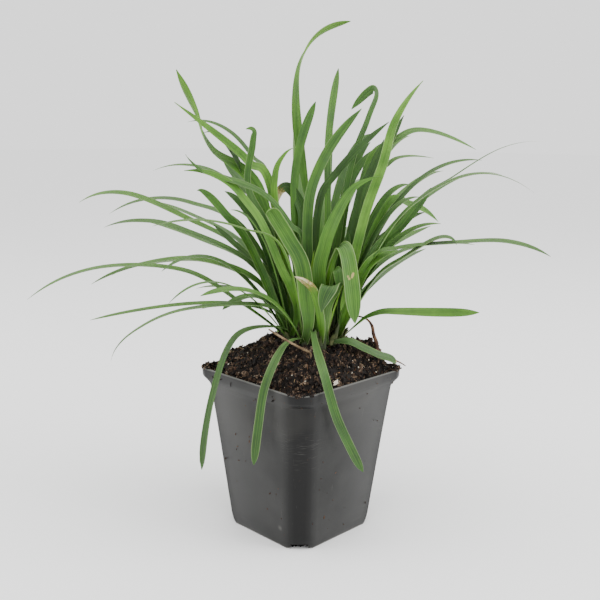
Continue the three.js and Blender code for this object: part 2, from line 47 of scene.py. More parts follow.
POT_HEIGHT = 98
RIM_WIDTH = 90
SHOULDER_WIDTH = 85.2
BASE_WIDTH = 67
WALL = 1.3
FLOOR = 4.6
LIP_DEPTH = 8.2
LIP_FOOT = POT_HEIGHT - LIP_DEPTH
RIM_CORNER = 10
BODY_CORNER = 9.4
SOFT = 0.18  # the chamfers bulge slightly
FLARE_FOOT = 52
FLARE = 2.8
NOTCH_WIDTH = 11.4
NOTCH_HEIGHT = 3.2
NOTCH_REACH = 17
DRAIN_HOLE = 7
SHARP_EDGE = 38  # in degrees: the pot's faces are shaded as one up to this angle

SOIL_EDGE = 96
SOIL_HEAP = 20.5
# height, place across and away in the plant's frame, and spread
SOIL_LUMPS = ((7.5, 44, 2, 9), (2.0, -19, 8, 8), (-3.5, -30, 0, 9))
SOIL_PLAY = 0.3  # between the soil and the wall
SOIL_SINK = 0.8  # the bare top lies lower than the solid's, as the crumbs on it come up to that
SOIL_STEPS, SOIL_RINGS = 60, 62
SOIL_RELIEF = ((2.6, 0.27), (2.2, 0.62), (0.7, 1.9))  # height and turns to the millimetre

PLANT_TURN = math.radians(45)
CROWN = (7, -2)
OUTER_RING = 14.8
INNER_RING = 5.5
FOOT_HEIGHT = 116
FOOT_OFFSET = 1.5
STUB_TOP = 123
STUB_FOOT = 101.3
SHEATH_RADIUS = 3.2
SHEATH_RIBS, SHEATH_RELIEF = 5, 0.12  # how many run up a sheath, and their height as a share of its radius

# ---- Leaves
# Each tuft goes by its name, its ring and its bearing round the crown in degrees. A leaf is: width, twist in
# degrees at the foot and the tip, bluntness of the tip, neck (the foot's width in tenths of the full width),
# tone from 0 (dark) to 9 (bright), dryness of the tip from 0 to 9, and the places that its midrib passes:
# across, away and up.

# the tones were set to how bright each leaf looks, so besides the leaves' own colours they hold painted light
# and shade: lit leaves have high tones, shaded ones low
TUFTS = {}
TUFTS["heart_right", INNER_RING, 30] = (
    (5.8, 268, -62, 9, 5, 6, 0, (3, 8, 189), (-4, 14, 252), (2, 12, 284), (26, 5, 298)),
    (6.4, 80, 80, 10, 5, 4, 0, (14, 6, 183), (14, 10, 232), (20, 14, 273)),
    (5.2, 60, 118, 12, 5, 3, 0, (26, 12, 209), (37, 15, 244), (42, 16, 258), (39, 16, 261), (28, 14, 250)),
    (5.3, 80, 80, 5, 5, 4, 0, (15, 18, 188), (17, 36, 229), (17, 48, 258)),
    (5.3, 60, 50, 4, 5, 3, 0, (17, 20, 183), (29, 42, 221), (44, 56, 236)),
)
TUFTS["heart_left", INNER_RING, 150] = (
    (6.8, 80, 80, 10, 5, 4, 0, (-5, 2, 183), (-4, 4, 221), (7, 8, 254)),
    (6.4, -40, -60, 7, 5, 4, 0, (-19, -4, 178), (-32, -4, 205), (-29, -7, 230), (-28, -8, 237),
     (-32, -11, 238)),
    (5.0, 40, 30, 2, 5, 6, 0, (-15, -5, 190), (-16, -4, 213), (-11, -4, 224), (-4, -3, 228)),
    (5.3, 80, 80, 4, 5, 4, 0, (-3, 12, 182), (-6, 34, 226), (-4, 50, 257)),
    (6.4, -60, -80, 8, 5, 2, 3, (0, 3, 174), (0, 4, 190), (-4, 4, 200), (-9, 4, 205), (-13, 3, 203),
     (-14, 1, 197)),
)
TUFTS["heart_front", INNER_RING, 270] = (
    (6.0, 75, 60, 4, 5, 4, 0, (3, -8, 184), (10, -6, 218), (33, 0, 250)),
    (5.0, 50, 30, 4, 5, 1, 0, (9, -2, 190), (20, 2, 214), (50, 12, 243)),
    (5.4, 80, 80, 4, 6, 9, 0, (5, -14, 142), (6, -14, 158), (7, -13, 171)),
)
TUFTS["fan_right", OUTER_RING, 10] = (
    (5.3, 60, 45, 4, 5, 1, 0, (29, 6, 180), (40, 12, 209), (60, 25, 247)),
    (5.6, 20, 30, 5, 5, 6, 0, (37, 14, 212), (55, 20, 232), (73, 26, 238), (106, 34, 227)),
    (5.0, 15, 15, 4, 5, 3, 0, (58, 15, 197), (108, 25, 221)),
    (4.9, 25, 30, 5, 5, 3, 0, (40, 2, 185), (63, 10, 207)),
    (5.4, 15, 20, 4, 5, 3, 0, (44, 0, 180), (69, 5, 200)),
    (4.9, 50, 60, 5, 5, 7, 0, (48, 15, 191), (66, 23, 194), (84, 30, 183)),
    (5.6, 60, 60, 5, 5, 1, 0, (25, -2, 155), (27, 0, 180)),
    (5.0, 20, 20, 4, 5, 3, 0, (35, 8, 161), (58, 20, 181), (76, 30, 189)),
    (5.9, 45, 35, 5, 5, 1, 0, (38, 2, 160), (52, 6, 175), (64, 9, 192)),
    (5.6, 70, 60, 4, 5, 1, 0, (32, 2, 193), (40, 4, 215), (47, 8, 233)),
)
TUFTS["fan_right_back", OUTER_RING, 50] = (
    (4.9, 50, 40, 4, 5, 3, 0, (24, 18, 193), (41, 32, 231)),
    (5.0, 50, 40, 4, 5, 4, 0, (25, 14, 190), (32, 18, 214), (47, 28, 228)),
    (3.8, 15, 15, 4, 5, 6, 0, (42, 29, 203), (52, 35, 217), (63, 44, 222), (84, 56, 221)),
    (4.4, 10, 10, 4, 5, 5, 0, (40, 25, 203), (69, 60, 235)),
    (2.4, 10, 0, 0, 7, 4, 2, (63, 28, 188), (95, 40, 211), (126, 52, 228), (154, 62, 232)),
    (5.4, 10, 0, 2, 5, 5, 0, (47, 28, 167), (75, 62, 191), (110, 92, 208), (141, 112, 208)),
    (5.4, 10, 10, 4, 5, 4, 0, (42, 28, 175), (69, 58, 202), (94, 80, 212)),
    (4.9, 0, 10, 4, 5, 5, 0, (45, 32, 152), (76, 62, 163), (120, 92, 161)),
    (4.9, 10, 10, 4, 5, 6, 0, (41, 30, 155), (61, 56, 166), (87, 80, 175)),
    (5.2, 40, 30, 5, 5, 3, 0, (32, 28, 179), (47, 54, 208), (54, 70, 228)),
    (5.5, 0, 0, 5, 5, 4, 0, (41, 34, 139), (61, 62, 150), (85, 84, 159)),
)
TUFTS["fan_back", OUTER_RING, 90] = (
    (5.4, 20, 0, 4, 5, 5, 0, (-3, 38, 162), (-5, 76, 180), (-5, 108, 186)),
    (5.6, 10, 0, 4, 5, 4, 0, (0, 38, 175), (-2, 76, 211), (-3, 108, 217)),
    (5.1, 0, 0, 5, 5, 6, 0, (12, 38, 175), (17, 76, 204), (20, 108, 209)),
    (5.5, -20, 0, 2, 5, 5, 0, (22, 36, 175), (34, 74, 200), (43, 106, 204)),
    (4.9, 0, 0, 4, 5, 3, 0, (-3, 42, 154), (-8, 88, 164), (-12, 122, 162)),
    (5.8, 0, 0, 5, 5, 6, 0, (9, 42, 155), (11, 90, 172), (13, 130, 173)),
    (5.1, 0, 0, 4, 5, 4, 0, (20, 42, 154), (30, 88, 169), (36, 122, 168)),
    (5.2, 0, 0, 4, 5, 5, 1, (1, 42, 136), (-3, 88, 137), (-6, 122, 118)),
    (5.3, 0, 0, 5, 5, 7, 0, (16, 42, 136), (22, 88, 137), (27, 120, 121)),
    (5.1, 0, 0, 7, 3, 4, 0, (12, 34, 119), (16, 56, 110), (19, 69, 84), (20, 72, 50)),
    (5.4, 0, 0, 4, 5, 5, 0, (21, 40, 129), (30, 72, 127), (36, 92, 112)),
    (5.4, 0, 0, 6, 3, 6, 1, (-4, 34, 119), (-12, 54, 111), (-17, 68, 88), (-18, 72, 60)),
)
TUFTS["fan_left_back", OUTER_RING, 130] = (
    (5.0, 0, -35, 4, 5, 7, 0, (-33, 11, 164), (-70, 23, 184), (-111, 38, 198), (-143, 50, 191)),
    (5.2, -15, -20, 4, 5, 5, 0, (-34, 10, 178), (-69, 30, 193), (-98, 42, 194), (-124, 52, 184)),
    (4.2, -15, -10, 4, 5, 4, 0, (-24, 8, 188), (-49, 22, 210), (-72, 34, 216), (-94, 44, 212)),
    (6.0, -60, -50, 1, 5, 7, 0, (-19, 7, 204), (-31, 8, 218), (-43, 9, 229), (-75, 12, 253)),
    (7.4, -290, 100, 5, 5, 6, 0, (-24, 8, 200), (-54, 14, 226), (-64, 18, 248), (-75, 22, 272)),
    (4.0, -20, -20, 5, 5, 3, 0, (-19, 15, 204), (-31, 25, 222), (-43, 32, 235), (-57, 36, 242),
     (-71, 38, 242)),
    (4.8, -30, -20, 4, 5, 2, 0, (-35, 10, 212), (-60, 20, 235)),
    (5.0, -10, -10, 4, 5, 4, 0, (-22, 25, 141), (-63, 60, 152), (-108, 92, 145), (-137, 108, 134)),
    (5.2, -10, 0, 4, 5, 6, 0, (-27, 24, 153), (-67, 58, 167), (-104, 84, 175)),
    (5.0, -10, 0, 4, 5, 4, 0, (-34, 34, 164), (-75, 72, 182), (-113, 100, 189)),
    (5.6, -20, 0, 5, 5, 3, 0, (-21, 34, 186), (-42, 60, 203), (-67, 84, 210)),
    (6.2, -50, -40, 4, 5, 2, 0, (-25, 34, 193), (-41, 60, 206), (-53, 74, 218)),
    (5.2, 0, 0, 4, 5, 6, 1, (-16, 31, 126), (-42, 60, 124), (-70, 78, 116)),
    (4.9, -20, -10, 5, 5, 4, 0, (-11, 30, 157), (-21, 58, 176), (-28, 86, 181)),
)
TUFTS["fan_left", OUTER_RING, 170] = (
    (3.8, -20, -20, 4, 6, 5, 0, (-23, 0, 133), (-63, -10, 138), (-121, -20, 130)),
    (5.0, -25, -20, 4, 5, 6, 0, (-26, -2, 150), (-62, 4, 162), (-98, 12, 157), (-129, 18, 144)),
    (5.4, -5, -22, 2, 5, 5, 0, (-36, -6, 138), (-71, 0, 156), (-126, 15, 154), (-172, 28, 132)),
    (4.9, -20, -20, 4, 5, 3, 0, (-29, 0, 159), (-72, 10, 179), (-98, 18, 183), (-122, 26, 178)),
    (5.4, -45, -30, 9, 5, 2, 0, (-24, 5, 174), (-46, 10, 202)),
    (5.2, -15, -15, 4, 5, 4, 0, (-45, -5, 161), (-81, -10, 157)),
    (5.3, -30, -20, 5, 5, 2, 0, (-15, 1, 149), (-37, 6, 168), (-53, 12, 182)),
    (5.5, -10, 0, 4, 5, 2, 0, (-19, -3, 139), (-44, 5, 145), (-64, 12, 143)),
)
TUFTS["fan_left_front", OUTER_RING, 210] = (
    (5.6, 0, -35, 8, 3, 1, 0, (-12, -17, 126), (-36, -26, 123), (-49, -31, 92), (-57, -30, 44)),
    (5.5, -25, 20, 2, 5, 2, 0, (-18, -18, 138), (-62, -45, 142), (-88, -60, 133), (-99, -66, 119)),
    (5.4, -20, -20, 6, 5, 2, 0, (-23, -14, 142), (-44, -30, 139)),
    (6.2, -65, -40, 9, 5, 4, 0, (-30, -10, 171), (-45, -15, 192), (-54, -16, 202), (-59, -17, 204)),
    (5.6, -70, -45, 2, 6, 7, 0, (-3, -15, 135), (-7, -16, 150), (-12, -15, 160), (-23, -14, 185),
     (-32, -15, 198), (-41, -16, 208), (-53, -17, 214), (-66, -18, 215)),
    (5.2, -30, -40, 2, 5, 3, 0, (0, -8, 172), (-7, -9, 184), (-15, -10, 195), (-24, -12, 203),
     (-35, -14, 208), (-45, -15, 211), (-56, -17, 215), (-61, -18, 219), (-65, -18, 224)),
    (3.4, -10, 0, 2, 6, 4, 0, (-41, -30, 153), (-72, -45, 145)),
    (4.6, -20, -20, 4, 5, 3, 0, (-21, -16, 174), (-40, -22, 194)),
    (5.8, -75, -60, 5, 5, 3, 0, (-4, -13, 157), (-8, -13, 173), (-13, -13, 189)),
)
TUFTS["fan_front_left", OUTER_RING, 250] = (
    (5.0, 0, -45, 8, 3, 2, 0, (-1, -23, 121), (-10, -32, 118), (-19, -47, 101), (-23, -47, 78),
     (-26, -44, 53)),
    (9.2, -132, -150, 10, 5, 5, 0, (4, -19, 128), (3, -21, 143), (0, -24, 165), (-7, -27, 179),
     (-13, -29, 189), (-17, -32, 195), (-20, -36, 193)),
    (5.3, -20, -20, 4, 5, 6, 0, (-22, -30, 147), (-55, -42, 149)),
    (5.0, 0, 0, 4, 5, 4, 0, (-11, -24, 172), (-32, -28, 184), (-56, -32, 189), (-81, -36, 186)),
)
TUFTS["fan_front_right", OUTER_RING, 290] = (
    (8.0, 80, 50, 0, 7, 6, 0, (10, -19, 156), (13, -20, 174), (17, -20, 186), (24, -17, 200), (31, -15, 208),
     (44, -13, 213)),
    (6.2, 30, 40, 8, 2, 2, 1, (26, -17, 118), (35, -15, 114), (45, -13, 109), (52, -9, 106), (57, -6, 103)),
    (5.2, 0, 50, 9, 5, 2, 0, (7, -22, 125), (8, -32, 119), (12, -50, 109), (15, -53, 99), (20, -51, 83),
     (29, -44, 62), (36, -38, 47)),
    (9.6, -20, 52, 6, 6, 5, 0, (17, -14, 155), (20, -16, 169), (23, -20, 173), (26, -26, 163),
     (30, -30, 132)),
    (5.4, 0, 40, 8, 5, 5, 0, (16, -17, 140), (18, -20, 158), (20, -24, 160), (21, -27, 151)),
    (11.6, 0, 15, 1, 5, 2, 0, (12, -21, 138), (17, -25, 150), (16, -29, 152), (13, -32, 147), (11, -34, 139)),
    (5.2, 0, 40, 3, 6, 5, 9, (11, -24, 129), (9, -28, 142), (6, -31, 151), (1, -33, 156), (-4, -35, 159)),
    (2.8, 0, 60, 5, 6, 8, 0, (22, -15, 146), (25, -19, 154), (25, -23, 152), (22, -26, 138)),
)
TUFTS["fan_right_front", OUTER_RING, 330] = (
    (5.6, 70, 60, 1, 5, 8, 0, (34, -12, 185), (45, -10, 219), (52, -6, 244), (68, 5, 266)),
    (6.3, 45, 35, 7, 5, 3, 0, (40, -8, 166), (57, -8, 184), (74, -2, 206)),
    (5.3, 20, 5, 0, 5, 4, 0, (47, -12, 177), (71, -16, 204), (100, -20, 215), (127, -26, 205)),
    (5.2, 25, 20, 4, 5, 5, 0, (48, -5, 169), (81, 0, 185)),
    (5.2, 20, 15, 5, 5, 3, 0, (39, -20, 165), (53, -28, 174), (83, -40, 179), (108, -50, 181),
     (128, -60, 175)),
    (6.2, 35, 10, 5, 5, 2, 0, (41, -22, 155), (56, -30, 169), (74, -36, 181), (83, -40, 178)),
    (5.5, 0, 70, 5, 2, 7, 0, (28, -12, 123), (33, -14, 128), (38, -15, 132), (46, -20, 136), (56, -23, 137),
     (78, -28, 138), (99, -31, 139)),
    (7.8, 60, 45, 7, 5, 7, 0, (34, -20, 156), (43, -20, 168), (54, -18, 172)),
)

# The two dead stalks, and a twig over the rim at the right-hand corner: places, with the radius at each.
DRY_STALK = (
    (5, -28, 104, 0.75), (5, -28, 110, 0.75), (5, -28, 114, 0.75), (1, -31, 117, 0.7),
    (-5, -34, 121, 0.6), (-11, -36, 125, 0.65), (-18, -38, 130, 0.45),
)
DEAD_STALK = (
    (45, -2, 104, 1.3), (45, -2, 113, 1.2), (43, -2, 119, 1.1), (42, -2, 124, 0.9),
    (39, -2, 128, 0.6), (34, 2, 129, 0.45), (29, 4, 128, 0.4),
)
TWIG = ((57, -1, 102.6, 0.5), (60, 0, 101, 0.4), (63, 1, 98.9, 0.3))

# ---- Small helpers


def linear(hex_colour, alpha=1.0):
    """An sRGB hex value as the linear colour that a shader takes."""
    values = [int(hex_colour[i : i + 2], 16) / 255 for i in (1, 3, 5)]
    return [v / 12.92 if v <= 0.04045 else ((v + 0.055) / 1.055) ** 2.4 for v in values] + [alpha]


def feed(made, inputs):
    """Gives a node its inputs: each a value, a socket, or a node whose first output is meant."""
    for name, value in dict(inputs).items():
        if isinstance(value, bpy.types.Node):
            value = value.outputs[0]
        if isinstance(value, bpy.types.NodeSocket):
            made.id_data.links.new(value, made.inputs[name])
        else:
            made.inputs[name].default_value = value


def node(tree, kind, inputs=(), stops=(), **settings):
    """Adds one node. A shader node's kind goes without its prefix. Stops are a ramp's places and colours."""
    made = tree.nodes.new(kind if "Node" in kind else "ShaderNode" + kind)
    for name, value in settings.items():
        setattr(made, name, value)
    feed(made, inputs)
    for i, (place, colour) in enumerate(stops):
        ramp = made.color_ramp.elements
        stop = ramp[i] if i < 2 else ramp.new(place)
        stop.position = place
        stop.color = linear(colour)
    return made


def new_material(name):
    """A material with a bare surface shader. Gives the material, its tree and the shader."""
    made = bpy.data.materials.new(name)
    made.use_nodes = True
    return made, made.node_tree, made.node_tree.nodes["Principled BSDF"]


def add_object(name, data):
    """Puts a mesh, a lamp or a camera into the scene."""
    made = bpy.data.objects.new(name, data)
    bpy.context.collection.objects.link(made)
    return made


def mesh_object(name, points, faces, material=None):
    """A new object at the origin from points in millimetres."""
    mesh = bpy.data.meshes.new(name)
    mesh.from_pydata([tuple(MM * v for v in point) for point in points], [], faces)
    mesh.validate()
    mesh.polygons.foreach_set("use_smooth", [True] * len(mesh.polygons))
    if material:
        mesh.materials.append(material)
    return add_object(name, mesh)


def give_values(mesh, name, values, kind="FLOAT"):
    """Stores one value a point on a mesh."""
    held = mesh.attributes.new(name, kind, "POINT")
    held.data.foreach_set("vector" if kind == "FLOAT_VECTOR" else "value", np.asarray(values, float).ravel())


def turned(x, y, angle):
    """A level place, turned about the middle."""
    cos, sin = math.cos(angle), math.sin(angle)
    return x * cos - y * sin, x * sin + y * cos


def placed(place):
    """A place in the plant's frame, turned to the pot's frame."""
    across, away, up = place
    return np.array([*turned(across, away, PLANT_TURN), up])


def settled(source):
    """The mesh that an object's modifiers make of it. The object loses them."""
    bpy.context.view_layer.update()
    graph = bpy.context.evaluated_depsgraph_get()
    mesh = bpy.data.meshes.new_from_object(source.evaluated_get(graph), depsgraph=graph)
    source.modifiers.clear()
    return mesh


def grow(source, tree, values, name):
    """Runs a node tree on an object and turns what it gives into a plain object."""
    modifier = source.modifiers.new("grow", "NODES")
    modifier.node_group = tree
    sockets = {item.name: item.identifier for item in tree.interface.items_tree if item.in_out == "INPUT"}
    for key, value in values.items():
        modifier[sockets[key]] = value
    mesh = settled(source)
    mesh.name = name
    return add_object(name, mesh)


def new_tree(name, inputs):
    """A geometry node tree with named inputs, each with its kind."""
    tree = bpy.data.node_groups.new(name, "GeometryNodeTree")
    for key, kind in {"Geometry": "Geometry", **inputs}.items():
        tree.interface.new_socket(key, in_out="INPUT", socket_type="NodeSocket" + kind)
    tree.interface.new_socket("Geometry", in_out="OUTPUT", socket_type="NodeSocketGeometry")
    return tree, node(tree, "NodeGroupInput").outputs


def finish_tree(tree, geometry, material):
    """Ends a tree with real geometry and its material."""
    real = node(tree, "GeometryNodeRealizeInstances", {"Geometry": geometry})
    dressed = node(tree, "GeometryNodeSetMaterial", {"Geometry": real, "Material": material})
    node(tree, "NodeGroupOutput", {"Geometry": dressed})


def keep(piece, slot, *nodes):
    """Fixes a finished piece to the pot's body and hides the solids that it stands for. The slot is not used.
    """
    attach(piece, "root")
    if nodes:
        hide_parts(*nodes)
    return piece


# ---- Materials


def leathery_leaf():
    """Living liriope blade: leathery, satin and ribbed lengthwise, deep green above and yellow-green below.
    The eye gets fine parallel veins, long streaks, a soft sheen that is partly painted on as a grey-green haze,
    painted shade along the middle and at the foot, and a thin pale margin on most leaves."""
    made, tree, shader = new_material("leathery_leaf")
    names = ("across", "run_mm", "tone", "dry", "under", "lot", "edge", "painted_sheen")
    held = {name: node(tree, "Attribute", attribute_name=name).outputs["Fac"] for name in names}
    across, run, lot = held["across"], held["run_mm"], held["lot"]

    # the tone of each leaf, clouded by patches about 12 mm long, 80 to the metre
    place = node(tree, "TexCoord").outputs["Object"]
    cloud = node(tree, "TexNoise", {"Vector": place, "Scale": 80.0, "Detail": 3.0})
    shift = node(tree, "MapRange", {"Value": cloud, 1: 0.3, 2: 0.7, 3: -0.15, 4: 0.15})
    tinted = node(tree, "Math", {0: held["tone"], 1: shift}, operation="ADD")
    above, below = (node(tree, "ValToRGB", {"Fac": tinted}, stops) for stops in (LEAF_ABOVE, LEAF_BELOW))

    # eight ribs to a leaf, drawn coarser than the real 0.3 mm so that they show
    ribs = node(tree, "Math", {0: across, 1: VEIN_COUNT, 2: lot}, operation="MULTIPLY_ADD")
    vein = node(tree, "Math", {0: ribs}, operation="SINE")
    # streaks 1 mm wide and about 30 mm long run with the ribs
    lane = node(tree, "CombineXYZ", {0: ribs, 1: run, 2: lot})
    lane = node(tree, "VectorMath", {0: lane, 1: (0.45, 0.03, 3.0)}, operation="MULTIPLY")
    streak = node(tree, "TexNoise", {"Vector": lane, "Scale": 1.0, "Detail": 1.0})
    side = node(tree, "Math", {0: across}, operation="ABSOLUTE")
    # a dry tip is straw within and brown where it meets the green, ragged along the ribs and spotted
    spots = node(tree, "TexNoise", {"Vector": place, "Scale": 900.0, "Detail": 1.0})
    ragged = node(tree, "Math", {0: held["dry"], 1: shift}, operation="ADD")
    for mottle, share in ((streak, 1.3), (spots, 0.8)):
        ragged = node(tree, "Math", {0: mottle, 1: share, 2: ragged}, operation="MULTIPLY_ADD")
    ragged = node(tree, "Math", {0: ragged, 1: 1.05}, operation="SUBTRACT")
    straw = node(tree, "ValToRGB", {"Fac": ragged}, DRY_TIP)

    masks = {
        name: node(tree, "MapRange", dict(zip(RANGE, row)))
        for name, *row in (
            ("veined", vein, 0.1, 1.0, 0.0, 0.16),
            ("dark", streak, 0.5, 0.75, 0.0, 0.42),
            ("pale", streak, 0.47, 0.28, 0.0, 0.3),
            ("channel", side, 0.0, 0.3, 0.22, 0.0),  # painted shade along the middle, in the fold's channel
            ("foot", run, 1.0, 16.0, 0.8, 0.0),  # painted shade: darkens the leaf where it enters the soil among the other leaves
            ("margin", side, 0.86, 0.97),
            ("dried", ragged, 0.25, 0.45),
            ("within", held["dry"], 0.0, 0.08),
            ("rough", cloud, 0.3, 0.7, 0.34, 0.5),
        )
    }
    for name, factor in (("margin", held["edge"]), ("dried", masks["within"])):
        masks[name] = node(tree, "Math", {0: masks[name], 1: factor}, operation="MULTIPLY")
    # two old slits, healed tan, that run towards each other over 4 mm
    scars = []
    for *spot, reach in LEAF_SCARS:
        far = node(tree, "VectorMath", {0: place, 1: placed(spot) * MM}, operation="DISTANCE").outputs["Value"]
        scar = {"Value": far, 1: reach * MM, 2: 0.5 * reach * MM, 4: 0.75}
        scars.append((node(tree, "MapRange", scar), linear(SCAR_TAN)))
    colour = above
    for mask, over in (
        (held["under"], below),
        # painted sheen: grey-green where the blade lies level
        (held["painted_sheen"], linear(LEAF_PAINTED_SHEEN)),
        (masks["veined"], linear(VEIN_PALE)),
        (masks["dark"], linear(LEAF_STREAK_AND_SHADE)),
        (masks["pale"], linear(VEIN_PALE)),
        # the channel's painted shade
        (masks["channel"], linear(LEAF_STREAK_AND_SHADE)),
        # painted shade at the leaf's foot
        (masks["foot"], linear(LEAF_FOOT_SHADE)),
        (masks["margin"], linear(MARGIN_PALE)),
        *scars,
        (masks["dried"], straw),
    ):
        colour = node(tree, "Mix", {0: mask, 6: colour, 7: over}, data_type="RGBA").outputs[2]
    ridge = node(tree, "Bump", {"Height": vein, "Strength": 0.4, "Distance": 0.00012})
    feed(shader, {"Base Color": colour, "Roughness": masks["rough"], "Normal": ridge, **LEAF_SHADER})
    return made


def moulded_polypropylene():
    """Injection-moulded black polypropylene, satin from its tool, thin-walled, handled and dusty.
    The eye gets near-black with soft wavy lights, worn pale edges, faint scuffs and dried splashes of soil,
    with painted shade on the corner chamfers, kept free of the dust so that they stay darker than the faces."""
    made, tree, shader = new_material("moulded_polypropylene")
    place = node(tree, "TexCoord").outputs["Object"]
    parts = node(tree, "SeparateXYZ", {0: place}).outputs
    sizes = [node(tree, "Math", {0: parts[i]}, operation="ABSOLUTE") for i in (0, 1)]
    least = node(tree, "Math", dict(enumerate(sizes)), operation="MINIMUM")
    corner = node(tree, "Math", {0: parts[2], 1: -CHAMFER_SPREAD, 2: least}, operation="MULTIPLY_ADD")
    slant = {"Vector": place, "Rotation": (0.5, 0.3, 0.2), "Scale": (900.0, 900.0, 60.0)}
    slant = node(tree, "Mapping", slant)
    level = node(tree, "Mapping", {"Vector": place, "Scale": (160.0, 160.0, 2800.0)})
    # a scale is a number of grains to the metre, so 34 sets them 29 mm apart
    grains = {
        name: node(tree, "TexNoise", {"Vector": at, "Scale": scale, "Detail": detail})
        for name, at, scale, detail in (
            ("cloud", place, 34.0, 5.0),  # dust clouds about 30 mm across
            ("film", place, 27.0, 0.0),  # dried water, in soft shapes about 40 mm wide
            ("scuff", slant, 1.0, 2.0),  # slanting, 0.5 mm wide and 10 mm long
            ("scratch", level, 1.0, 1.0),  # level, 0.3 mm wide and 6 mm long
            ("splash", place, 700.0, 2.0),  # dried, under 1 mm
            ("skin", place, 2400.0, 2.0),  # left by the mould
            ("wave", place, 30.0, 0.5),  # left by the cooling
        )
    }
    cloud = grains["cloud"]
    band = node(tree, "Math", {0: parts[2], 1: RUBBED_HEIGHT}, operation="SUBTRACT")
    band = node(tree, "Math", {0: band}, operation="ABSOLUTE")
    far = node(tree, "VectorMath", {0: place, 1: SMEAR_PLACE}, operation="DISTANCE").outputs["Value"]
    fewest = node(tree, "MapRange", {"Value": parts[2], 1: 0.03, 2: 0.095, 3: 0.77, 4: 0.71})
    splash = node(tree, "Math", {0: grains["splash"], 1: fewest}, operation="SUBTRACT")
    masks = {
        name: node(tree, "MapRange", dict(zip(RANGE, row)))
        for name, *row in (
            ("dust_and_chamfer_shade", cloud, 0.35, 0.7, 0.32, 0.6),
            # painted shade: the corner chamfers are kept almost free of dust, so that they stay darker than the
            # faces
            ("chamfer_shade", corner, CHAMFER_FOOT - 0.005, CHAMFER_FOOT + 0.003, 1.0, 0.04),
            ("film", grains["film"], 0.48, 0.56),
            ("high", parts[2], 0.045, 0.07, 0.0, 0.06),  # the upper half
            ("scuff", grains["scuff"], 0.68, 0.8, 0.0, 0.12),
            # the chamfers rub at two thirds of the height
            ("scratch", grains["scratch"], 0.6, 0.74, 0.0, 0.1),
            ("rubbed", band, 0.004, 0.016, 1.0, 0.0),
            ("near", corner, CHAMFER_FOOT - 0.008, CHAMFER_FOOT - 0.001, 0.15, 1.0),
            ("smear", far, 0.002, 0.0003, 0.0, 0.2),  # pale, 4 mm across
            ("splash", splash, 0.0, 0.03, 0.0, 0.7),
            ("worn_rim", parts[2], 0.0974, 0.098, 0.0, 0.4),
            ("worn_foot", parts[2], 0.0014, 0.0004, 0.0, 0.35),
            ("rough", cloud, 0.3, 0.75, 0.36, 0.5),
        )
    }
    # the dust is cut back on the chamfers as painted shade
    for name, factor in (("dust_and_chamfer_shade", "chamfer_shade"), ("film", "high"), ("scratch", "rubbed"), ("scratch", "near")):
        masks[name] = node(tree, "Math", {0: masks[name], 1: masks[factor]}, operation="MULTIPLY")
    colour = linear(POT_BLACK)
    for name, over in (
        ("dust_and_chamfer_shade", POT_DUST),
        ("film", POT_SCUFF),
        ("scuff", POT_SCUFF),
        ("scratch", POT_WORN),
        ("smear", POT_WORN),
        ("splash", SOIL_STAIN),
        ("worn_rim", POT_WORN),
        ("worn_foot", POT_WORN),
    ):
        layer = {0: masks[name], 6: colour, 7: linear(over)}
        colour = node(tree, "Mix", layer, data_type="RGBA").outputs[2]
    skin = node(tree, "Bump", {"Height": grains["skin"], "Strength": 0.1, "Distance": 0.0001})
    waved = {"Height": grains["wave"], "Strength": 0.6, "Distance": 0.0022, "Normal": skin}
    waved = node(tree, "Bump", waved)
    feed(shader, {"Base Color": colour, "Roughness": masks["rough"], "Normal": waved, **POT_SHADER})
    return made


def granular(name, stops, grain_mm, rough, relief_mm=0.4):
    """A dull broken natural matter. Its ramp runs over a grain of one size and each bit's own shade."""
    made, tree, shader = new_material(name)
    place = node(tree, "TexCoord").outputs["Object"]
    settings = {"Vector": place, "Scale": 1 / (grain_mm * MM), "Detail": 4.0, "Roughness": 0.65}
    grain = node(tree, "TexNoise", settings)
    mixed = node(tree, "MapRange", {"Value": grain, 1: 0.35, 2: 0.68, 4: 0.45})
    shade = node(tree, "Attribute", attribute_name="shade").outputs["Fac"]
    total = node(tree, "Math", {0: shade, 1: 0.62, 2: mixed}, operation="MULTIPLY_ADD")
    colour = node(tree, "ValToRGB", {"Fac": total}, stops)
    skin = node(tree, "Bump", {"Height": grain, "Strength": 0.6, "Distance": relief_mm * MM})
    feed(shader, {"Base Color": colour, "Roughness": rough, "Specular IOR Level": 0.3, "Normal": skin})
    return made


# ---- Pot


def square_ring(z, width, corner, roundness, steps=16):
    """A square outline. Its corners run from a flat chamfer (roundness 0) to an arc (roundness 1)."""
    half, inner = width / 2, width / 2 - corner
    ring = []
    for quarter in range(4):
        turn = quarter * math.pi / 2
        for step in range(steps + 1):
            part = step / steps
            angle = part * math.pi / 2
            flat = (half - corner * part, inner + corner * part)
            bent = (inner + corner * math.cos(angle), inner + corner * math.sin(angle))
            x, y = (f + (b - f) * roundness for f, b in zip(flat, bent))
            ring.append((*turned(x, y, turn), z))
    return ring


def loft(rings):
    """Points and faces of a closed skin over rings of equal count, capped at both ends."""
    count = len(rings[0])
    points = [point for ring in rings for point in ring]
    faces = []
    for ring in range(len(rings) - 1):
        for i in range(count):
            a, b = ring * count + i, ring * count + (i + 1) % count
            faces.append((a, b, b + count, a + count))
    faces.append(tuple(range(count))[::-1])
    faces.append(tuple(range(len(points) - count, len(points))))
    return points, faces


def body_width(z):
    return BASE_WIDTH + (SHOULDER_WIDTH - BASE_WIDTH) * z / LIP_FOOT


def flare(z):
    return FLARE * max(0, (z - FLARE_FOOT) / (LIP_FOOT - FLARE_FOOT)) ** 2


def body_ring(z, drawn_in=0.0, steps=16):
    """The body's outline at one height, drawn in by the wall and a clearance where those are given."""
    return square_ring(z, body_width(z) + flare(z) - 2 * drawn_in, BODY_CORNER + flare(z), SOFT, steps)


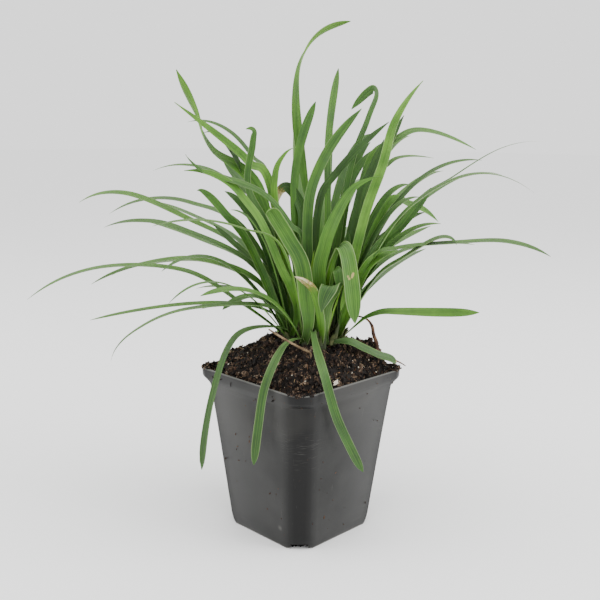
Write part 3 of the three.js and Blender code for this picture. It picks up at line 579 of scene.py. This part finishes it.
def cavity_rings(clearance=0.0, steps=16):
    """The wall's inner face, up from the floor, pushed inwards by a clearance."""
    drawn_in = WALL + clearance
    mouth = RIM_WIDTH - 2 * drawn_in
    floor = [(x, y, FLOOR + clearance) for x, y, _ in body_ring(FLOOR, drawn_in, steps)]
    wall = [body_ring(z, drawn_in, steps) for z in (FLARE_FOOT, 60, 66, 73, 79, LIP_FOOT - 0.5)]
    return [
        floor,
        *wall,
        square_ring(LIP_FOOT + 5.4, mouth - 0.4, RIM_CORNER - 0.5, 1, steps),
        square_ring(POT_HEIGHT + 1, mouth, RIM_CORNER - WALL, 1, steps),
    ]


def make_pot(material):
    """The moulded pot: wall, rim, floor, corner notches and drain holes."""
    foot = [
        square_ring(z, body_width(z) - tuck, BODY_CORNER + cut, SOFT)
        for z, tuck, cut in ((0, 1.3, 1.7), (0.3, 0.8, 1.4), (1.0, 0.5, 1.1), (3, 0.2, 0.5), (5.5, 0.1, 0.1))
    ]
    wall = [body_ring(z) for z in (8, 22, 38, FLARE_FOOT, 57, 62, 67, 72, 77, 82, 86, LIP_FOOT - 0.4)]
    # the faces run on into the rim, which stands out at the corners alone
    rim = [
        square_ring(z, width, corner, roundness)
        for z, width, corner, roundness in (
            (LIP_FOOT, 88.05, 12.0, SOFT + 0.04),
            (LIP_FOOT + 0.5, 88.2, 11.6, 0.34),
            (LIP_FOOT + 1.4, 88.55, 10.9, 0.64),
            (LIP_FOOT + 2.4, 89.0, 10.4, 0.88),
            (LIP_FOOT + 3.0, 89.3, 10.1, 0.97),
            (LIP_FOOT + 3.7, 89.6, 10, 1),
            (POT_HEIGHT - 0.9, RIM_WIDTH, RIM_CORNER, 1),
            (POT_HEIGHT - 0.35, RIM_WIDTH - 0.2, RIM_CORNER, 1),
            (POT_HEIGHT, RIM_WIDTH - 0.9, RIM_CORNER - 0.4, 1),
        )
    ]
    pot = mesh_object("nursery_pot", *loft(foot + wall + rim), material)
    cutters = [mesh_object("pot_inside", *loft(cavity_rings()))]
    corner_reach = BASE_WIDTH / math.sqrt(2)
    half, slope = NOTCH_WIDTH / 2, 0.7
    arch = [(-half, -2), (half, -2), (half - slope, NOTCH_HEIGHT), (slope - half, NOTCH_HEIGHT)]
    notch_x = corner_reach - BODY_CORNER / math.sqrt(2) + 4
    hole_x = corner_reach - NOTCH_REACH - 1.5
    round_hole = [(math.cos(a * math.pi / 12), math.sin(a * math.pi / 12)) for a in range(24)]
    for corner in range(4):
        turn = Matrix.Rotation(math.radians(45 + 90 * corner), 4, "Z")
        notch = [[(x, y, z) for y, z in arch] for x in (notch_x - NOTCH_REACH, notch_x)]
        hole = [[(hole_x + DRAIN_HOLE / 2 * x, DRAIN_HOLE / 2 * y, z) for x, y in round_hole] for z in (-5, 9)]
        for rings in (notch, hole):
            cutters.append(mesh_object("corner_cut", *loft(rings)))
            cutters[-1].data.transform(turn)
    for cutter in cutters:
        cut = pot.modifiers.new("cut", "BOOLEAN")
        cut.operation = "DIFFERENCE"
        cut.solver = "EXACT"
        cut.object = cutter
    pot.data = settled(pot)
    for cutter in cutters:
        bpy.data.objects.remove(cutter)
    pot.data.materials.clear()
    pot.data.materials.append(material)
    pot.data.set_sharp_from_angle(angle=math.radians(SHARP_EDGE))
    return keep(pot, "pot", "pot")


# ---- Soil


def hill(x, y, across, away, spread):
    """1 at a place in the plant's frame, falling off to 0 round it."""
    top = placed((across, away, 0))
    return math.exp(-((x - top[0]) ** 2 + (y - top[1]) ** 2) / spread**2)


def soil_height(x, y):
    """The heap's height, the same as in the solid."""
    half = RIM_WIDTH / 2 - WALL
    reach = ((abs(x) / half) ** 4 + (abs(y) / half) ** 4) ** 0.25
    heap = SOIL_HEAP * (1 - min(reach, 1) ** 3.6)
    clods = 1.0 * math.sin(0.33 * x + 0.21 * y + 1) * math.sin(0.29 * y - 0.17 * x)
    crumbs = 0.6 * math.sin(0.93 * x - 0.61 * y) * math.sin(0.84 * y + 0.42 * x + 2)
    lump = sum(height * hill(x, y, *place) for height, *place in SOIL_LUMPS)
    return SOIL_EDGE + heap + clods + crumbs + lump


def make_soil(material):
    """The filling. Its top is roughened at three grain sizes and marked for what lies on it."""
    outline = square_ring(0, RIM_WIDTH - 2 * (WALL + SOIL_PLAY), RIM_CORNER - WALL, 1, SOIL_STEPS)
    rings = cavity_rings(SOIL_PLAY, SOIL_STEPS)[:-1]
    for k in range(SOIL_RINGS):
        part = 1 - k / SOIL_RINGS
        ring = []
        for x, y, _ in outline:
            px, py = x * part, y * part
            at = Vector((px, py, 3.0))
            rough = sum(size * noise.noise(at * pitch) for size, pitch in SOIL_RELIEF)
            ring.append((px, py, soil_height(px, py) + rough - SOIL_SINK))
        rings.append(ring)
    soil = mesh_object("potting_soil", *loft(rings), material)
    places = [vertex.co / MM for vertex in soil.data.vertices]
    top = np.array([1.0 if z > SOIL_EDGE - 3 else 0.0 for _, _, z in places])
    give_values(soil.data, "top", top)
    edge = [1.0 if max(abs(x), abs(y)) > RIM_WIDTH / 2 - 12 else 0.0 for x, y, _ in places]
    give_values(soil.data, "near_rim", top * edge)
    patches = [max(hill(x, y, *patch) for patch in MOSS_PATCHES) > 0.45 for x, y, _ in places]
    give_values(soil.data, "mossy", top * patches)
    return keep(soil, "soil", "soil")


SHADE_SEED = 77


def rock_shape(name, seed, squash, detail=1):
    """One broken grain about a millimetre across, with 20 or 80 flat faces."""
    form = bmesh.new()
    bmesh.ops.create_icosphere(form, subdivisions=detail, radius=0.5 * MM)
    for vertex in form.verts:
        at = vertex.co.normalized() * 1.7 + Vector((seed * 7.1, 0, 0))
        vertex.co *= 1 + 0.95 * noise.noise(at)
        vertex.co = Vector(c * s for c, s in zip(vertex.co, squash))
    mesh = bpy.data.meshes.new(name)
    form.to_mesh(mesh)
    form.free()
    mesh.polygons.foreach_set("use_smooth", [False] * len(mesh.polygons))
    return bpy.data.objects.new(name, mesh)


def scatter_tree(name, material, on_points=False):
    """Strews one shape over the faces that a named value marks, or sets one at each bare point, turned and
    sized at random."""
    kinds = {"Shape": "Object", "Seed": "Int", "Mask": "String"}
    floats = ("Smallest", "Largest", "Tilt", "Spacing", "Density")
    tree, given = new_tree(name, {**kinds, **dict.fromkeys(floats, "Float")})
    points = given["Geometry"]
    if not on_points:
        settings = {
            "Mesh": points,
            "Distance Min": given["Spacing"],
            "Density Max": given["Density"],
            "Density Factor": node(tree, "GeometryNodeInputNamedAttribute", {"Name": given["Mask"]}),
            "Seed": given["Seed"],
        }
        points = node(tree, "GeometryNodeDistributePointsOnFaces", settings, distribute_method="POISSON")
    shape = node(tree, "GeometryNodeObjectInfo", {"Object": given["Shape"]}).outputs["Geometry"]
    tilt = given["Tilt"]
    back = node(tree, "Math", {0: tilt, 1: -1.0}, operation="MULTIPLY")
    low = node(tree, "CombineXYZ", {0: back, 1: back, 2: -math.pi})
    high = node(tree, "CombineXYZ", {0: tilt, 1: tilt, 2: math.pi})
    turns = {"Min": low, "Max": high, "Seed": given["Seed"]}
    turn = node(tree, "FunctionNodeRandomValue", turns, data_type="FLOAT_VECTOR")
    sizes = {2: given["Smallest"], 3: given["Largest"], "Seed": given["Seed"]}
    size = node(tree, "FunctionNodeRandomValue", sizes).outputs[1]
    strewn = node(tree, "GeometryNodeInstanceOnPoints", {"Points": points, "Instance": shape, "Scale": size})
    spun = node(tree, "GeometryNodeRotateInstances", {"Instances": strewn, "Rotation": turn})
    shade = node(tree, "FunctionNodeRandomValue", {2: 0.0, 3: 1.0, "Seed": SHADE_SEED}).outputs[1]
    shaded = {"Geometry": spun, "Name": "shade", "Value": shade}
    shaded = node(tree, "GeometryNodeStoreNamedAttribute", shaded, domain="INSTANCE")
    finish_tree(tree, shaded, material)
    return tree


def along_rim(count, chance):
    """Random places on the rim's top, and just inside and over it, closest together at its corners."""
    places = []
    for _ in range(count):
        outline = square_ring(0, RIM_WIDTH - chance.choice((0.2, 1.2, 2.0, 3.2, 4.5)), RIM_CORNER, 1, 24)
        i = chance.randrange(len(outline))
        start, end = Vector(outline[i]), Vector(outline[(i + 1) % len(outline)])
        x, y, _ = start.lerp(end, chance.random())
        places.append((x, y, POT_HEIGHT + chance.uniform(-0.2, 0.4)))
    return places


def on_wall(count, chance):
    """Random places on the outer faces of the wall, most of them high up."""
    places = []
    for _ in range(count):
        z = POT_HEIGHT - 4 - 88 * chance.random() ** 1.6
        out = (body_width(z) + flare(z)) / 2
        along = chance.uniform(-0.75, 0.75) * out
        places.append((*turned(out, along, chance.randrange(4) * math.pi / 2), z))
    return places


def in_notches(count, chance):
    """Random places on the ground inside the four drain notches, for black crumbs that paint the shade in them.
    """
    places = []
    for _ in range(count):
        reach, along = chance.uniform(27, 37.5), chance.uniform(-0.42, 0.42) * NOTCH_WIDTH
        places.append((*turned(reach, along, math.pi / 4 + chance.randrange(4) * math.pi / 2), 1.0))
    return places


# ---- Blades


def course(places, spans):
    """A smooth course through given places, carried on past both ends so that it keeps its bend there."""
    stops = np.array(places, float)
    before = 3 * stops[0] - 3 * stops[1] + stops[2]
    after = 3 * stops[-1] - 3 * stops[-2] + stops[-3]
    stops = np.vstack([before, stops, after])
    last = len(stops) - 3
    points = []
    for step in range(spans + 1):
        along = last * step / spans
        i = min(int(along), last - 1)
        t = along - i
        a, b, c, d = stops[i : i + 4]
        bend = 2 * a - 5 * b + 4 * c - d
        points.append(0.5 * (2 * b + (c - a) * t + bend * t * t + (3 * b - a - 3 * c + d) * t**3))
    return np.array(points)


def unit(vectors):
    return vectors / np.linalg.norm(vectors, axis=-1, keepdims=True)


def tuft_centre(ring, bearing):
    angle = math.radians(bearing)
    return placed((CROWN[0] + ring * math.cos(angle), CROWN[1] + ring * math.sin(angle), 0))


LEAF_SPANS = 44
SECTION_STEPS = 16
WOBBLE = 5  # in degrees, how far a blade sways out of its twist
RISE = 0.35  # share of the length over which the neck widens
TONE_FIRST, TONE_STEP, TONE_PLAY = 0.08, 0.092, 0.05  # the ramp's place for tone 0, each step and its play
TIP_LEAST = 0.07  # a tip's share of the half width
DRY_STEP = 0.035  # share of the length that is dry, for each degree of dryness
MARGINS = (0.05, 0.2, 0.35, 0.5)  # how strong a pale margin can be
BROAD_LEAF = 9  # a wider leaf, in millimetres, has the strongest margin
PAINTED_SHEEN_SHARE = 0.4  # painted sheen: how strong the grey-green haze is on level stretches of a leaf, where it stands in for the bright sky's reflection
# shares of a blade's half width: its thickness and the rise of its margins
FOLDED = {"Thickness": 0.10, "Fold at foot": 0.42, "Fold at tip": 0.26}
ROUND = {"Thickness": 1.0, "Fold at foot": 0.0, "Fold at tip": 0.0}


def midrib(centre, leaf, chance):
    """The points of one leaf's midrib, with what the sweep needs at each."""
    width, foot_twist, tip_twist, bluntness, neck, tone, dry, *places = leaf
    stops = [placed(place) for place in places]
    lean = (stops[-1] - centre) * (1, 1, 0)
    foot = centre + unit(lean) * FOOT_OFFSET
    foot[2] = FOOT_HEIGHT
    rib = course([foot] + stops, LEAF_SPANS)
    steps = np.linalg.norm(np.diff(rib, axis=0), axis=1)
    run = np.concatenate([[0], np.cumsum(steps)])
    part = run / run[-1]
    along = unit(np.gradient(rib, axis=0))
    reach = unit((rib[-1] - rib[0]) * (1, 1, 0))
    level = np.array([-reach[1], reach[0], 0])
    flat = unit(level - (along @ level)[:, None] * along)
    wobble = WOBBLE * np.sin(2 * math.pi * (1.4 * part + chance.random())) * part
    twist = np.radians(foot_twist + (tip_twist - foot_twist) * part + wobble)
    side = flat * np.cos(twist)[:, None] + np.cross(along, flat) * np.sin(twist)[:, None]
    rise = np.clip(part / RISE, 0, 1)
    swell = neck / 10 + (1 - neck / 10) * rise * rise * (3 - 2 * rise)
    taper = 1 - np.clip(2 * part - 1, 0, 1) ** (2 + 1.2 * bluntness)
    half = 0.5 * width * swell * np.maximum(taper, TIP_LEAST)
    dry_part = np.clip((part - (1 - DRY_STEP * dry)) / (DRY_STEP * dry), 0, 1) if dry else 0 * part
    count = len(part)
    return {
        "points": rib,
        "face": np.cross(along, side),
        "half_width": half * MM,
        "along": part,
        "run_mm": run,
        "tone": np.full(count, TONE_FIRST + tone * TONE_STEP + chance.uniform(-TONE_PLAY, TONE_PLAY)),
        "dry": dry_part,
        "lot": np.full(count, chance.uniform(0, 6.28)),
        "edge": np.full(count, max(chance.choice(MARGINS), MARGINS[-1] * (width > BROAD_LEAF))),
        # painted sheen, strongest where the blade lies level
        "painted_sheen": PAINTED_SHEEN_SHARE * np.clip((np.abs(np.cross(along, side)[:, 2]) - 0.55) / 0.4, 0, 1),
    }


def stalk_line(stalk, chance):
    """The points of a dead stalk, round and a little knotty, with what the sweep needs at each."""
    line = course([placed(place) for *place, _ in stalk], LEAF_SPANS)
    part = np.linspace(0, 1, LEAF_SPANS + 1)
    thick = np.interp(part, np.linspace(0, 1, len(stalk)), [radius for *_, radius in stalk])
    thick = thick * (1 + 0.12 * np.array([noise.noise(Vector((9 * p, chance, 0))) for p in part]))
    along = unit(np.gradient(line, axis=0))
    face = unit(np.cross(along, np.cross((0.3, 0.2, 1), along)))
    shade = 0.5 + 0.4 * np.sin(31 * part)
    return {"points": line, "face": face, "half_width": thick * MM, "along": part, "shade": shade}


def blade_tree(material):
    """Sweeps a lens-shaped section along every midrib, then folds it into a shallow channel."""
    tree, given = new_tree("long_blades", dict.fromkeys(("Thickness", "Fold at foot", "Fold at tip"), "Float"))
    kinds = {"face": "FLOAT_VECTOR", "half_width": "FLOAT", "along": "FLOAT", "across": "FLOAT"}
    held = {
        name: node(tree, "GeometryNodeInputNamedAttribute", {"Name": name}, data_type=kind)
        for name, kind in kinds.items()
    }
    curve = node(tree, "GeometryNodeMeshToCurve", {"Mesh": given["Geometry"]})
    faced = node(tree, "GeometryNodeSetCurveNormal", {"Curve": curve, "Normal": held["face"]}, mode="FREE")
    section = node(tree, "GeometryNodeCurvePrimitiveCircle", {"Resolution": SECTION_STEPS, "Radius": 1.0})
    parts = node(tree, "SeparateXYZ", {0: node(tree, "GeometryNodeInputPosition")}).outputs
    below = node(tree, "FunctionNodeCompare", {0: parts[0], 1: 0.0}, operation="LESS_THAN")
    for name, value in (("across", parts[1]), ("under", below)):
        marked = {"Geometry": section, "Name": name, "Value": value}
        section = node(tree, "GeometryNodeStoreNamedAttribute", marked)
    slim = node(tree, "CombineXYZ", {0: given["Thickness"], 1: 1.0, 2: 1.0})
    section = node(tree, "GeometryNodeTransform", {"Geometry": section, "Scale": slim})
    sweep = {"Curve": faced, "Profile Curve": section, "Scale": held["half_width"], "Fill Caps": True}
    swept = node(tree, "GeometryNodeCurveToMesh", sweep)
    outward = node(tree, "Math", {0: held["across"], 1: held["across"]}, operation="MULTIPLY")
    lift = {"Value": held["along"], 3: given["Fold at foot"], 4: given["Fold at tip"]}
    lift = node(tree, "MapRange", lift)
    for factor in (outward, held["half_width"]):
        lift = node(tree, "Math", {0: lift, 1: factor}, operation="MULTIPLY")
    offset = node(tree, "VectorMath", {0: held["face"], "Scale": lift}, operation="SCALE")
    folded = node(tree, "GeometryNodeSetPosition", {"Geometry": swept, "Offset": offset})
    finish_tree(tree, node(tree, "GeometryNodeSetShadeSmooth", {"Geometry": folded}), material)
    return tree


def path_object(name, ribs):
    """Open paths as bare edges, with every rib's values stored on its points."""
    points, edges = [], []
    for rib in ribs:
        start = len(points)
        points.extend(tuple(p) for p in rib["points"])
        edges.extend((start + i, start + i + 1) for i in range(len(rib["points"]) - 1))
    mesh = bpy.data.meshes.new(name)
    mesh.from_pydata([tuple(MM * v for v in point) for point in points], edges, [])
    for key in ribs[0]:
        if key != "points":
            kind = "FLOAT_VECTOR" if key == "face" else "FLOAT"
            give_values(mesh, key, np.concatenate([rib[key] for rib in ribs]), kind)
    return add_object(name, mesh)


def sweep(name, ribs, tree, values, slot, *nodes):
    """Sweeps a tree's section along ribs and keeps what comes as one piece."""
    paths = path_object(name + "_paths", ribs)
    made = grow(paths, tree, values, name)
    bpy.data.objects.remove(paths)
    return keep(made, slot, *nodes)


def make_tufts(leaf, sheath):
    """Every tuft: its leaves, swept from their midribs, and the dark sheaths that they part from."""
    tree = blade_tree(leaf)
    chance = random.Random(11)
    turns = [a * math.pi / 20 for a in range(40)]
    narrowing = ((STUB_TOP - 6, 2.4), (STUB_TOP - 3, 1.6), (STUB_TOP - 1, 0.9))
    levels = ((STUB_FOOT, SHEATH_RADIUS), (STUB_TOP - 11, SHEATH_RADIUS), *narrowing)
    for (name, ring, bearing), leaves in TUFTS.items():
        centre = tuft_centre(ring, bearing)
        ribs = [midrib(centre, row, chance) for row in leaves]
        sweep(name + "_blades", ribs, tree, FOLDED, "leaf", name)
        rings = []
        for z, radius in levels:
            ribbed = [(turn, radius * (1 + SHEATH_RELIEF * math.cos(SHEATH_RIBS * turn))) for turn in turns]
            rings.append([(centre[0] + r * math.cos(t), centre[1] + r * math.sin(t), z) for t, r in ribbed])
        keep(mesh_object(name + "_sheath", *loft(rings), sheath), "leaf")


def stumps_for_crown_shade(count, chance):
    """Stumps of earlier leaves, dark and frayed, that stand between the tufts. They also fill the crown's gaps
    with dark, as painted shade.
    """
    ribs = []
    for _ in range(count):
        angle, ring, rise = chance.uniform(0, 2 * math.pi), chance.uniform(5, 18), chance.uniform(5, 13)
        out = np.array([math.cos(angle), math.sin(angle), 0])
        foot = np.array([*CROWN, FOOT_HEIGHT]) + ring * out
        places = [foot + part * (4 * out + (0, 0, rise)) for part in (0.5, 1)]
        width, foot_twist, tip_twist = (chance.uniform(*play) for play in ((2.2, 4.2), (-40, 40), (-60, 60)))
        rib = midrib(placed(foot), (width, foot_twist, tip_twist, 0, 9, 0, 0, *places), chance)
        rib["shade"] = np.full(len(rib["points"]), chance.random())
        ribs.append(rib)
    return ribs


# ---- Stage


def make_stage():
    """Pale floor, soft light and the camera."""
    size = 9000
    corners = [(-size, -size, 0), (size, -size, 0), (size, size, 0), (-size, size, 0)]
    white, _, shader = new_material("white_paper")
    feed(shader, {"Base Color": linear(FLOOR_WHITE), "Roughness": 1.0, "Specular IOR Level": 0.0})
    mesh_object("floor", corners, [(0, 1, 2, 3)], white)

    world = bpy.data.worlds.new("studio")
    bpy.context.scene.world = world
    world.use_nodes = True
    feed(world.node_tree.nodes["Background"], {"Color": linear("#ffffff"), "Strength": WORLD_LIGHT})

    def back_vector(azimuth, elevation):
        a, e = math.radians(azimuth), math.radians(elevation)
        return Vector((math.sin(a) * math.cos(e), -math.cos(a) * math.cos(e), math.sin(e)))

    for name, azimuth, elevation, distance, size, power in LIGHTS:
        lamp = bpy.data.lights.new(name, "AREA")
        lamp.size = size
        lamp.energy = power
        holder = add_object(name, lamp)
        back = back_vector(azimuth, elevation)
        holder.location = Vector((0, 0, CAMERA_AIM)) + back * distance
        holder.rotation_euler = back.to_track_quat("Z", "Y").to_euler()

    lens = bpy.data.cameras.new("camera")
    lens.sensor_width = 36
    lens.lens = CAMERA_LENS
    lens.shift_x = CAMERA_SHIFT
    lens.clip_start, lens.clip_end = 0.01, 50
    camera = add_object("camera", lens)
    back = back_vector(CAMERA_AZIMUTH, CAMERA_ELEVATION)
    camera.location = Vector((0, 0, CAMERA_AIM)) + back * CAMERA_DISTANCE
    turn = back.to_track_quat("Z", "Y") @ Matrix.Rotation(math.radians(CAMERA_ROLL), 4, "Z").to_quaternion()
    camera.rotation_euler = turn.to_euler()
    bpy.context.scene.camera = camera


# ---- Finishes and light

# what a range node is given: a value, the range that it runs over and the range that it becomes
RANGE = ("Value", 1, 2, 3, 4)
LEAF_SHADER = {
    "IOR": 1.45,
    "Specular IOR Level": 0.27,
    "Subsurface Weight": 0.12,
    "Subsurface Radius": (0.0012, 0.0022, 0.0004),
}
POT_SHADER = {"IOR": 1.49, "Specular IOR Level": 0.18}
LEAF_ABOVE = ((0.0, "#1d3718"), (0.35, "#315623"), (0.7, "#487524"), (1.0, "#6a9a38"))
LEAF_BELOW = ((0.0, "#254515"), (0.35, "#3f671e"), (0.7, "#568624"), (1.0, "#7caa38"))
# the dark green of the long streaks, also used for the painted shade in the channel
LEAF_STREAK_AND_SHADE = "#16280f"
# the grey-green of the painted sheen on level stretches of the leaves
LEAF_PAINTED_SHEEN = "#6a8855"
# the painted shade at the foot of the leaves
LEAF_FOOT_SHADE = "#18260a"
VEIN_PALE = "#6f9638"
VEIN_COUNT = 24.0
MARGIN_PALE = "#a0b47c"
SCAR_TAN = "#b39d66"
DRY_TIP = ((0.0, "#4f3312"), (0.4, "#82622c"), (0.62, "#a09460"), (1.0, "#c6c4a0"))
POT_BLACK = "#131313"
POT_DUST = "#444443"
POT_SCUFF = "#6b6963"
POT_WORN = "#8a8984"
SOIL_STAIN = "#3a2a1f"
RUBBED_HEIGHT = 0.064  # in metres, as are the places below
SMEAR_PLACE = (0.0188, -0.035, 0.0119)
# spots that make up two slits in one leaf: across, away and up in the plant's frame, and radius, in millimetres
LEAF_SCARS = (
    (24.4, -27.2, 159.2, 1.1), (25.3, -27.4, 158.0, 1.3), (26.2, -27.6, 156.8, 1.1),
    (28.6, -26.6, 159.6, 0.9), (28.2, -26.8, 158.6, 1.1), (27.8, -27.0, 157.6, 0.9),
)
# across and away in the plant's frame, and spread, in millimetres
MOSS_PATCHES = ((-14.8, -8.9, 5), (38.5, -15.6, 3.2), (-8, -2, 4), (-24, -22, 2.5), (-12, -16, 3))
# specks of soil stuck to the wall, in millimetres
WALL_SPECKS = (
    (32.7, -44.2, 93.1), (44.4, -36.7, 95.8), (39.4, -37.5, 90.8), (-14, -40.0, 61.6), (36.9, -14.7, 33.2),
    (30.4, -30.8, 19.6), (35.4, -15.2, 18), (44.1, 9.4, 91.9), (44.4, -1.6, 94.4),
)

CHAMFER_FOOT = 0.0241  # least of |x| and |y| on a chamfer's edge at the foot, in metres
CHAMFER_SPREAD = 0.095  # its growth with height

FLOOR_WHITE = "#fbfbfb"
WORLD_LIGHT = 1.6
# name, azimuth, elevation, distance and size in metres, watts
LIGHTS = (
    ("side_right", 122, 25, 1.2, 0.8, 11.5),
    ("side_left", -40, 25, 1.2, 0.8, 6),
    ("top", 30, 75, 1.2, 0.7, 4),
)

CAMERA_AZIMUTH = 45
CAMERA_ELEVATION = 11.3
CAMERA_DISTANCE = 0.5
CAMERA_AIM = 0.139
CAMERA_LENS = 50.58
CAMERA_SHIFT = -0.0027
CAMERA_ROLL = 0.55

make_stage()

leaf = leathery_leaf()
pot_plastic = moulded_polypropylene()
# dug sphagnum peat, moist: nearly black, with brown where fibres show
browns = ((0.0, "#0a0806"), (0.4, "#1a130d"), (0.75, "#2e2319"), (1.0, "#4a3a2a"))
peat = granular("moist_peat", browns, 2.0, 0.9)
# painted shade: the same peat in black, strewn in the drain notches so that they look dark
notch_shade_peat = granular("notch_shade_peat", ((0.0, "#050403"), (0.6, "#0e0b08"), (1.0, "#1c1510")), 1.5, 0.8)
# crumbled peat, half dry: each crumb its own brown, a few of them tan
crumbs = ((0.0, "#040302"), (0.44, "#120c08"), (0.66, "#34251b"), (0.85, "#625040"), (1.0, "#988570"))
crumb = granular("peat_crumb", crumbs, 1.2, 0.92)
# composted bark, split: red-brown with paler broken ends
bark = granular("bark_chip", ((0.0, "#22130c"), (0.5, "#4a2e1e"), (1.0, "#8d6a48")), 1.5, 0.85)
# peat splashed on the wall and dried there: dull red-brown
splash_peat = granular("dried_splash", ((0.0, "#1b120d"), (0.5, "#3a281d"), (1.0, "#5d4433")), 1.2, 0.9)
# stripped coir fibre: tan threads
fibre = granular("coir_fibre", ((0.0, "#4f3b26"), (0.5, "#8d7450"), (1.0, "#c4ab80")), 1.0, 0.8, 0.1)
# expanded perlite: white, grey in its pits
perlite = granular("perlite_grain", ((0.0, "#7d7568"), (0.5, "#b3aa99"), (1.0, "#d9d2c3")), 0.8, 0.85)
# live moss and seedlings: bright yellow-green, soft
moss = granular("moss_cushion", ((0.0, "#2b3a10"), (0.5, "#5a7224"), (1.0, "#93a845")), 0.8, 0.9)
# a flower stalk of last year, dried in the air: grey-brown
straw = granular("dry_stalk_straw", ((0.0, "#3a2d1f"), (0.5, "#6a5841"), (1.0, "#958063")), 1.4, 0.85, 0.1)
# a dead leaf stalk, rotted in the wet: dark red-brown
rotten = granular("rotten_stalk", ((0.0, "#22120b"), (0.5, "#40281b"), (1.0, "#76543a")), 1.4, 0.8, 0.1)
# sheaths at the foot of the leaves: dark olive, brown with age
sheath = granular("leaf_sheath", ((0.0, "#1c2410"), (0.5, "#323c1c"), (1.0, "#5a5a33")), 3.0, 0.6, 0.1)

make_pot(pot_plastic)
soil = make_soil(peat)

fine = rock_shape("crumb_fine", 1, (1.7, 0.8, 0.65))
coarse = rock_shape("crumb_coarse", 2, (1.3, 1.0, 0.7), 2)
sliver = rock_shape("bark_sliver", 3, (3.2, 1.0, 0.55))
grain = rock_shape("perlite_lump", 4, (1.1, 1.0, 0.9))
thread = rock_shape("fibre_thread", 5, (7.0, 0.2, 0.2))
leaflet = rock_shape("moss_leaflet", 6, (0.3, 0.3, 2.2))
husk = rock_shape("white_husk", 7, (5.6, 2.4, 0.8), 2)

# name, shape, material and slot of what lies strewn over the heap, then its least and greatest size, its tilt,
# the least distance between bits in metres, their number to the square metre and the part of the heap
STREWN = (
    ("peat_crumbs_fine", fine, crumb, "soil", 0.5, 1.9, math.pi, 0.001, 6e5, "top"),
    ("peat_crumbs_coarse", coarse, crumb, "soil", 1.4, 4.0, math.pi, 0.0021, 1.2e5, "top"),
    ("bark_bits", sliver, bark, "soil", 0.6, 1.4, 0.9, 0.0026, 3e4, "top"),
    ("fibre_threads", thread, fibre, "soil", 0.4, 1.0, 0.7, 0.002, 4e4, "top"),
    ("perlite_bits", grain, perlite, "soil", 0.4, 1.3, math.pi, 0.004, 1.4e4, "top"),
    ("rim_perlite", grain, perlite, "soil", 0.4, 1.3, math.pi, 0.0025, 3e4, "near_rim"),
    ("moss_tufts", leaflet, moss, "leaf", 0.6, 1.5, 0.9, 0.0008, 6e5, "mossy"),
)
SPREAD = ("Shape", "Seed", "Smallest", "Largest", "Tilt", "Spacing", "Density", "Mask")
for seed, (name, shape, matter, slot, *settings) in enumerate(STREWN, 3):
    tree = scatter_tree(name + "_tree", matter)
    keep(grow(soil, tree, dict(zip(SPREAD, (shape, seed, *settings))), name), slot)

# name, places, shape and material of what sticks to the rim, the wall and the ground, then as above
STUCK = (
    ("rim_crumbs", along_rim(260, random.Random(4)), fine, crumb, 0.6, 1.8, math.pi),
    ("wall_specks", [*WALL_SPECKS, *on_wall(90, random.Random(6))], fine, splash_peat, 0.4, 1.2, math.pi),
    # painted shade: black crumbs on the ground in the drain notches
    ("washed_out_soil", in_notches(800, random.Random(8)), fine, notch_shade_peat, 0.8, 1.5, math.pi),
    ("husk_on_soil", [(41, -13.3, 99.8)], husk, perlite, 0.85, 0.85, 0.5),
)
for seed, (name, places, shape, matter, *settings) in enumerate(STUCK, 20):
    spots = mesh_object(name + "_spots", places, [])
    tree = scatter_tree(name + "_tree", matter, on_points=True)
    keep(grow(spots, tree, dict(zip(SPREAD, (shape, seed, *settings))), name), "soil")
    bpy.data.objects.remove(spots)

make_tufts(leaf, sheath)
# dark stumps: partly old leaf bases, partly painted shade in the gaps between the tufts
sweep("old_leaf_bases", stumps_for_crown_shade(90, random.Random(9)), blade_tree(sheath), FOLDED, "leaf")
sweep("dry_stalk_stem", [stalk_line(DRY_STALK, 1)], blade_tree(straw), ROUND, "dead_stem", "dry_stalk")
sweep("dead_stalk_stem", [stalk_line(DEAD_STALK, 2)], blade_tree(rotten), ROUND, "dead_stem", "dead_stalk")
sweep("twig_on_rim", [stalk_line(TWIG, 3)], blade_tree(rotten), ROUND, "dead_stem")
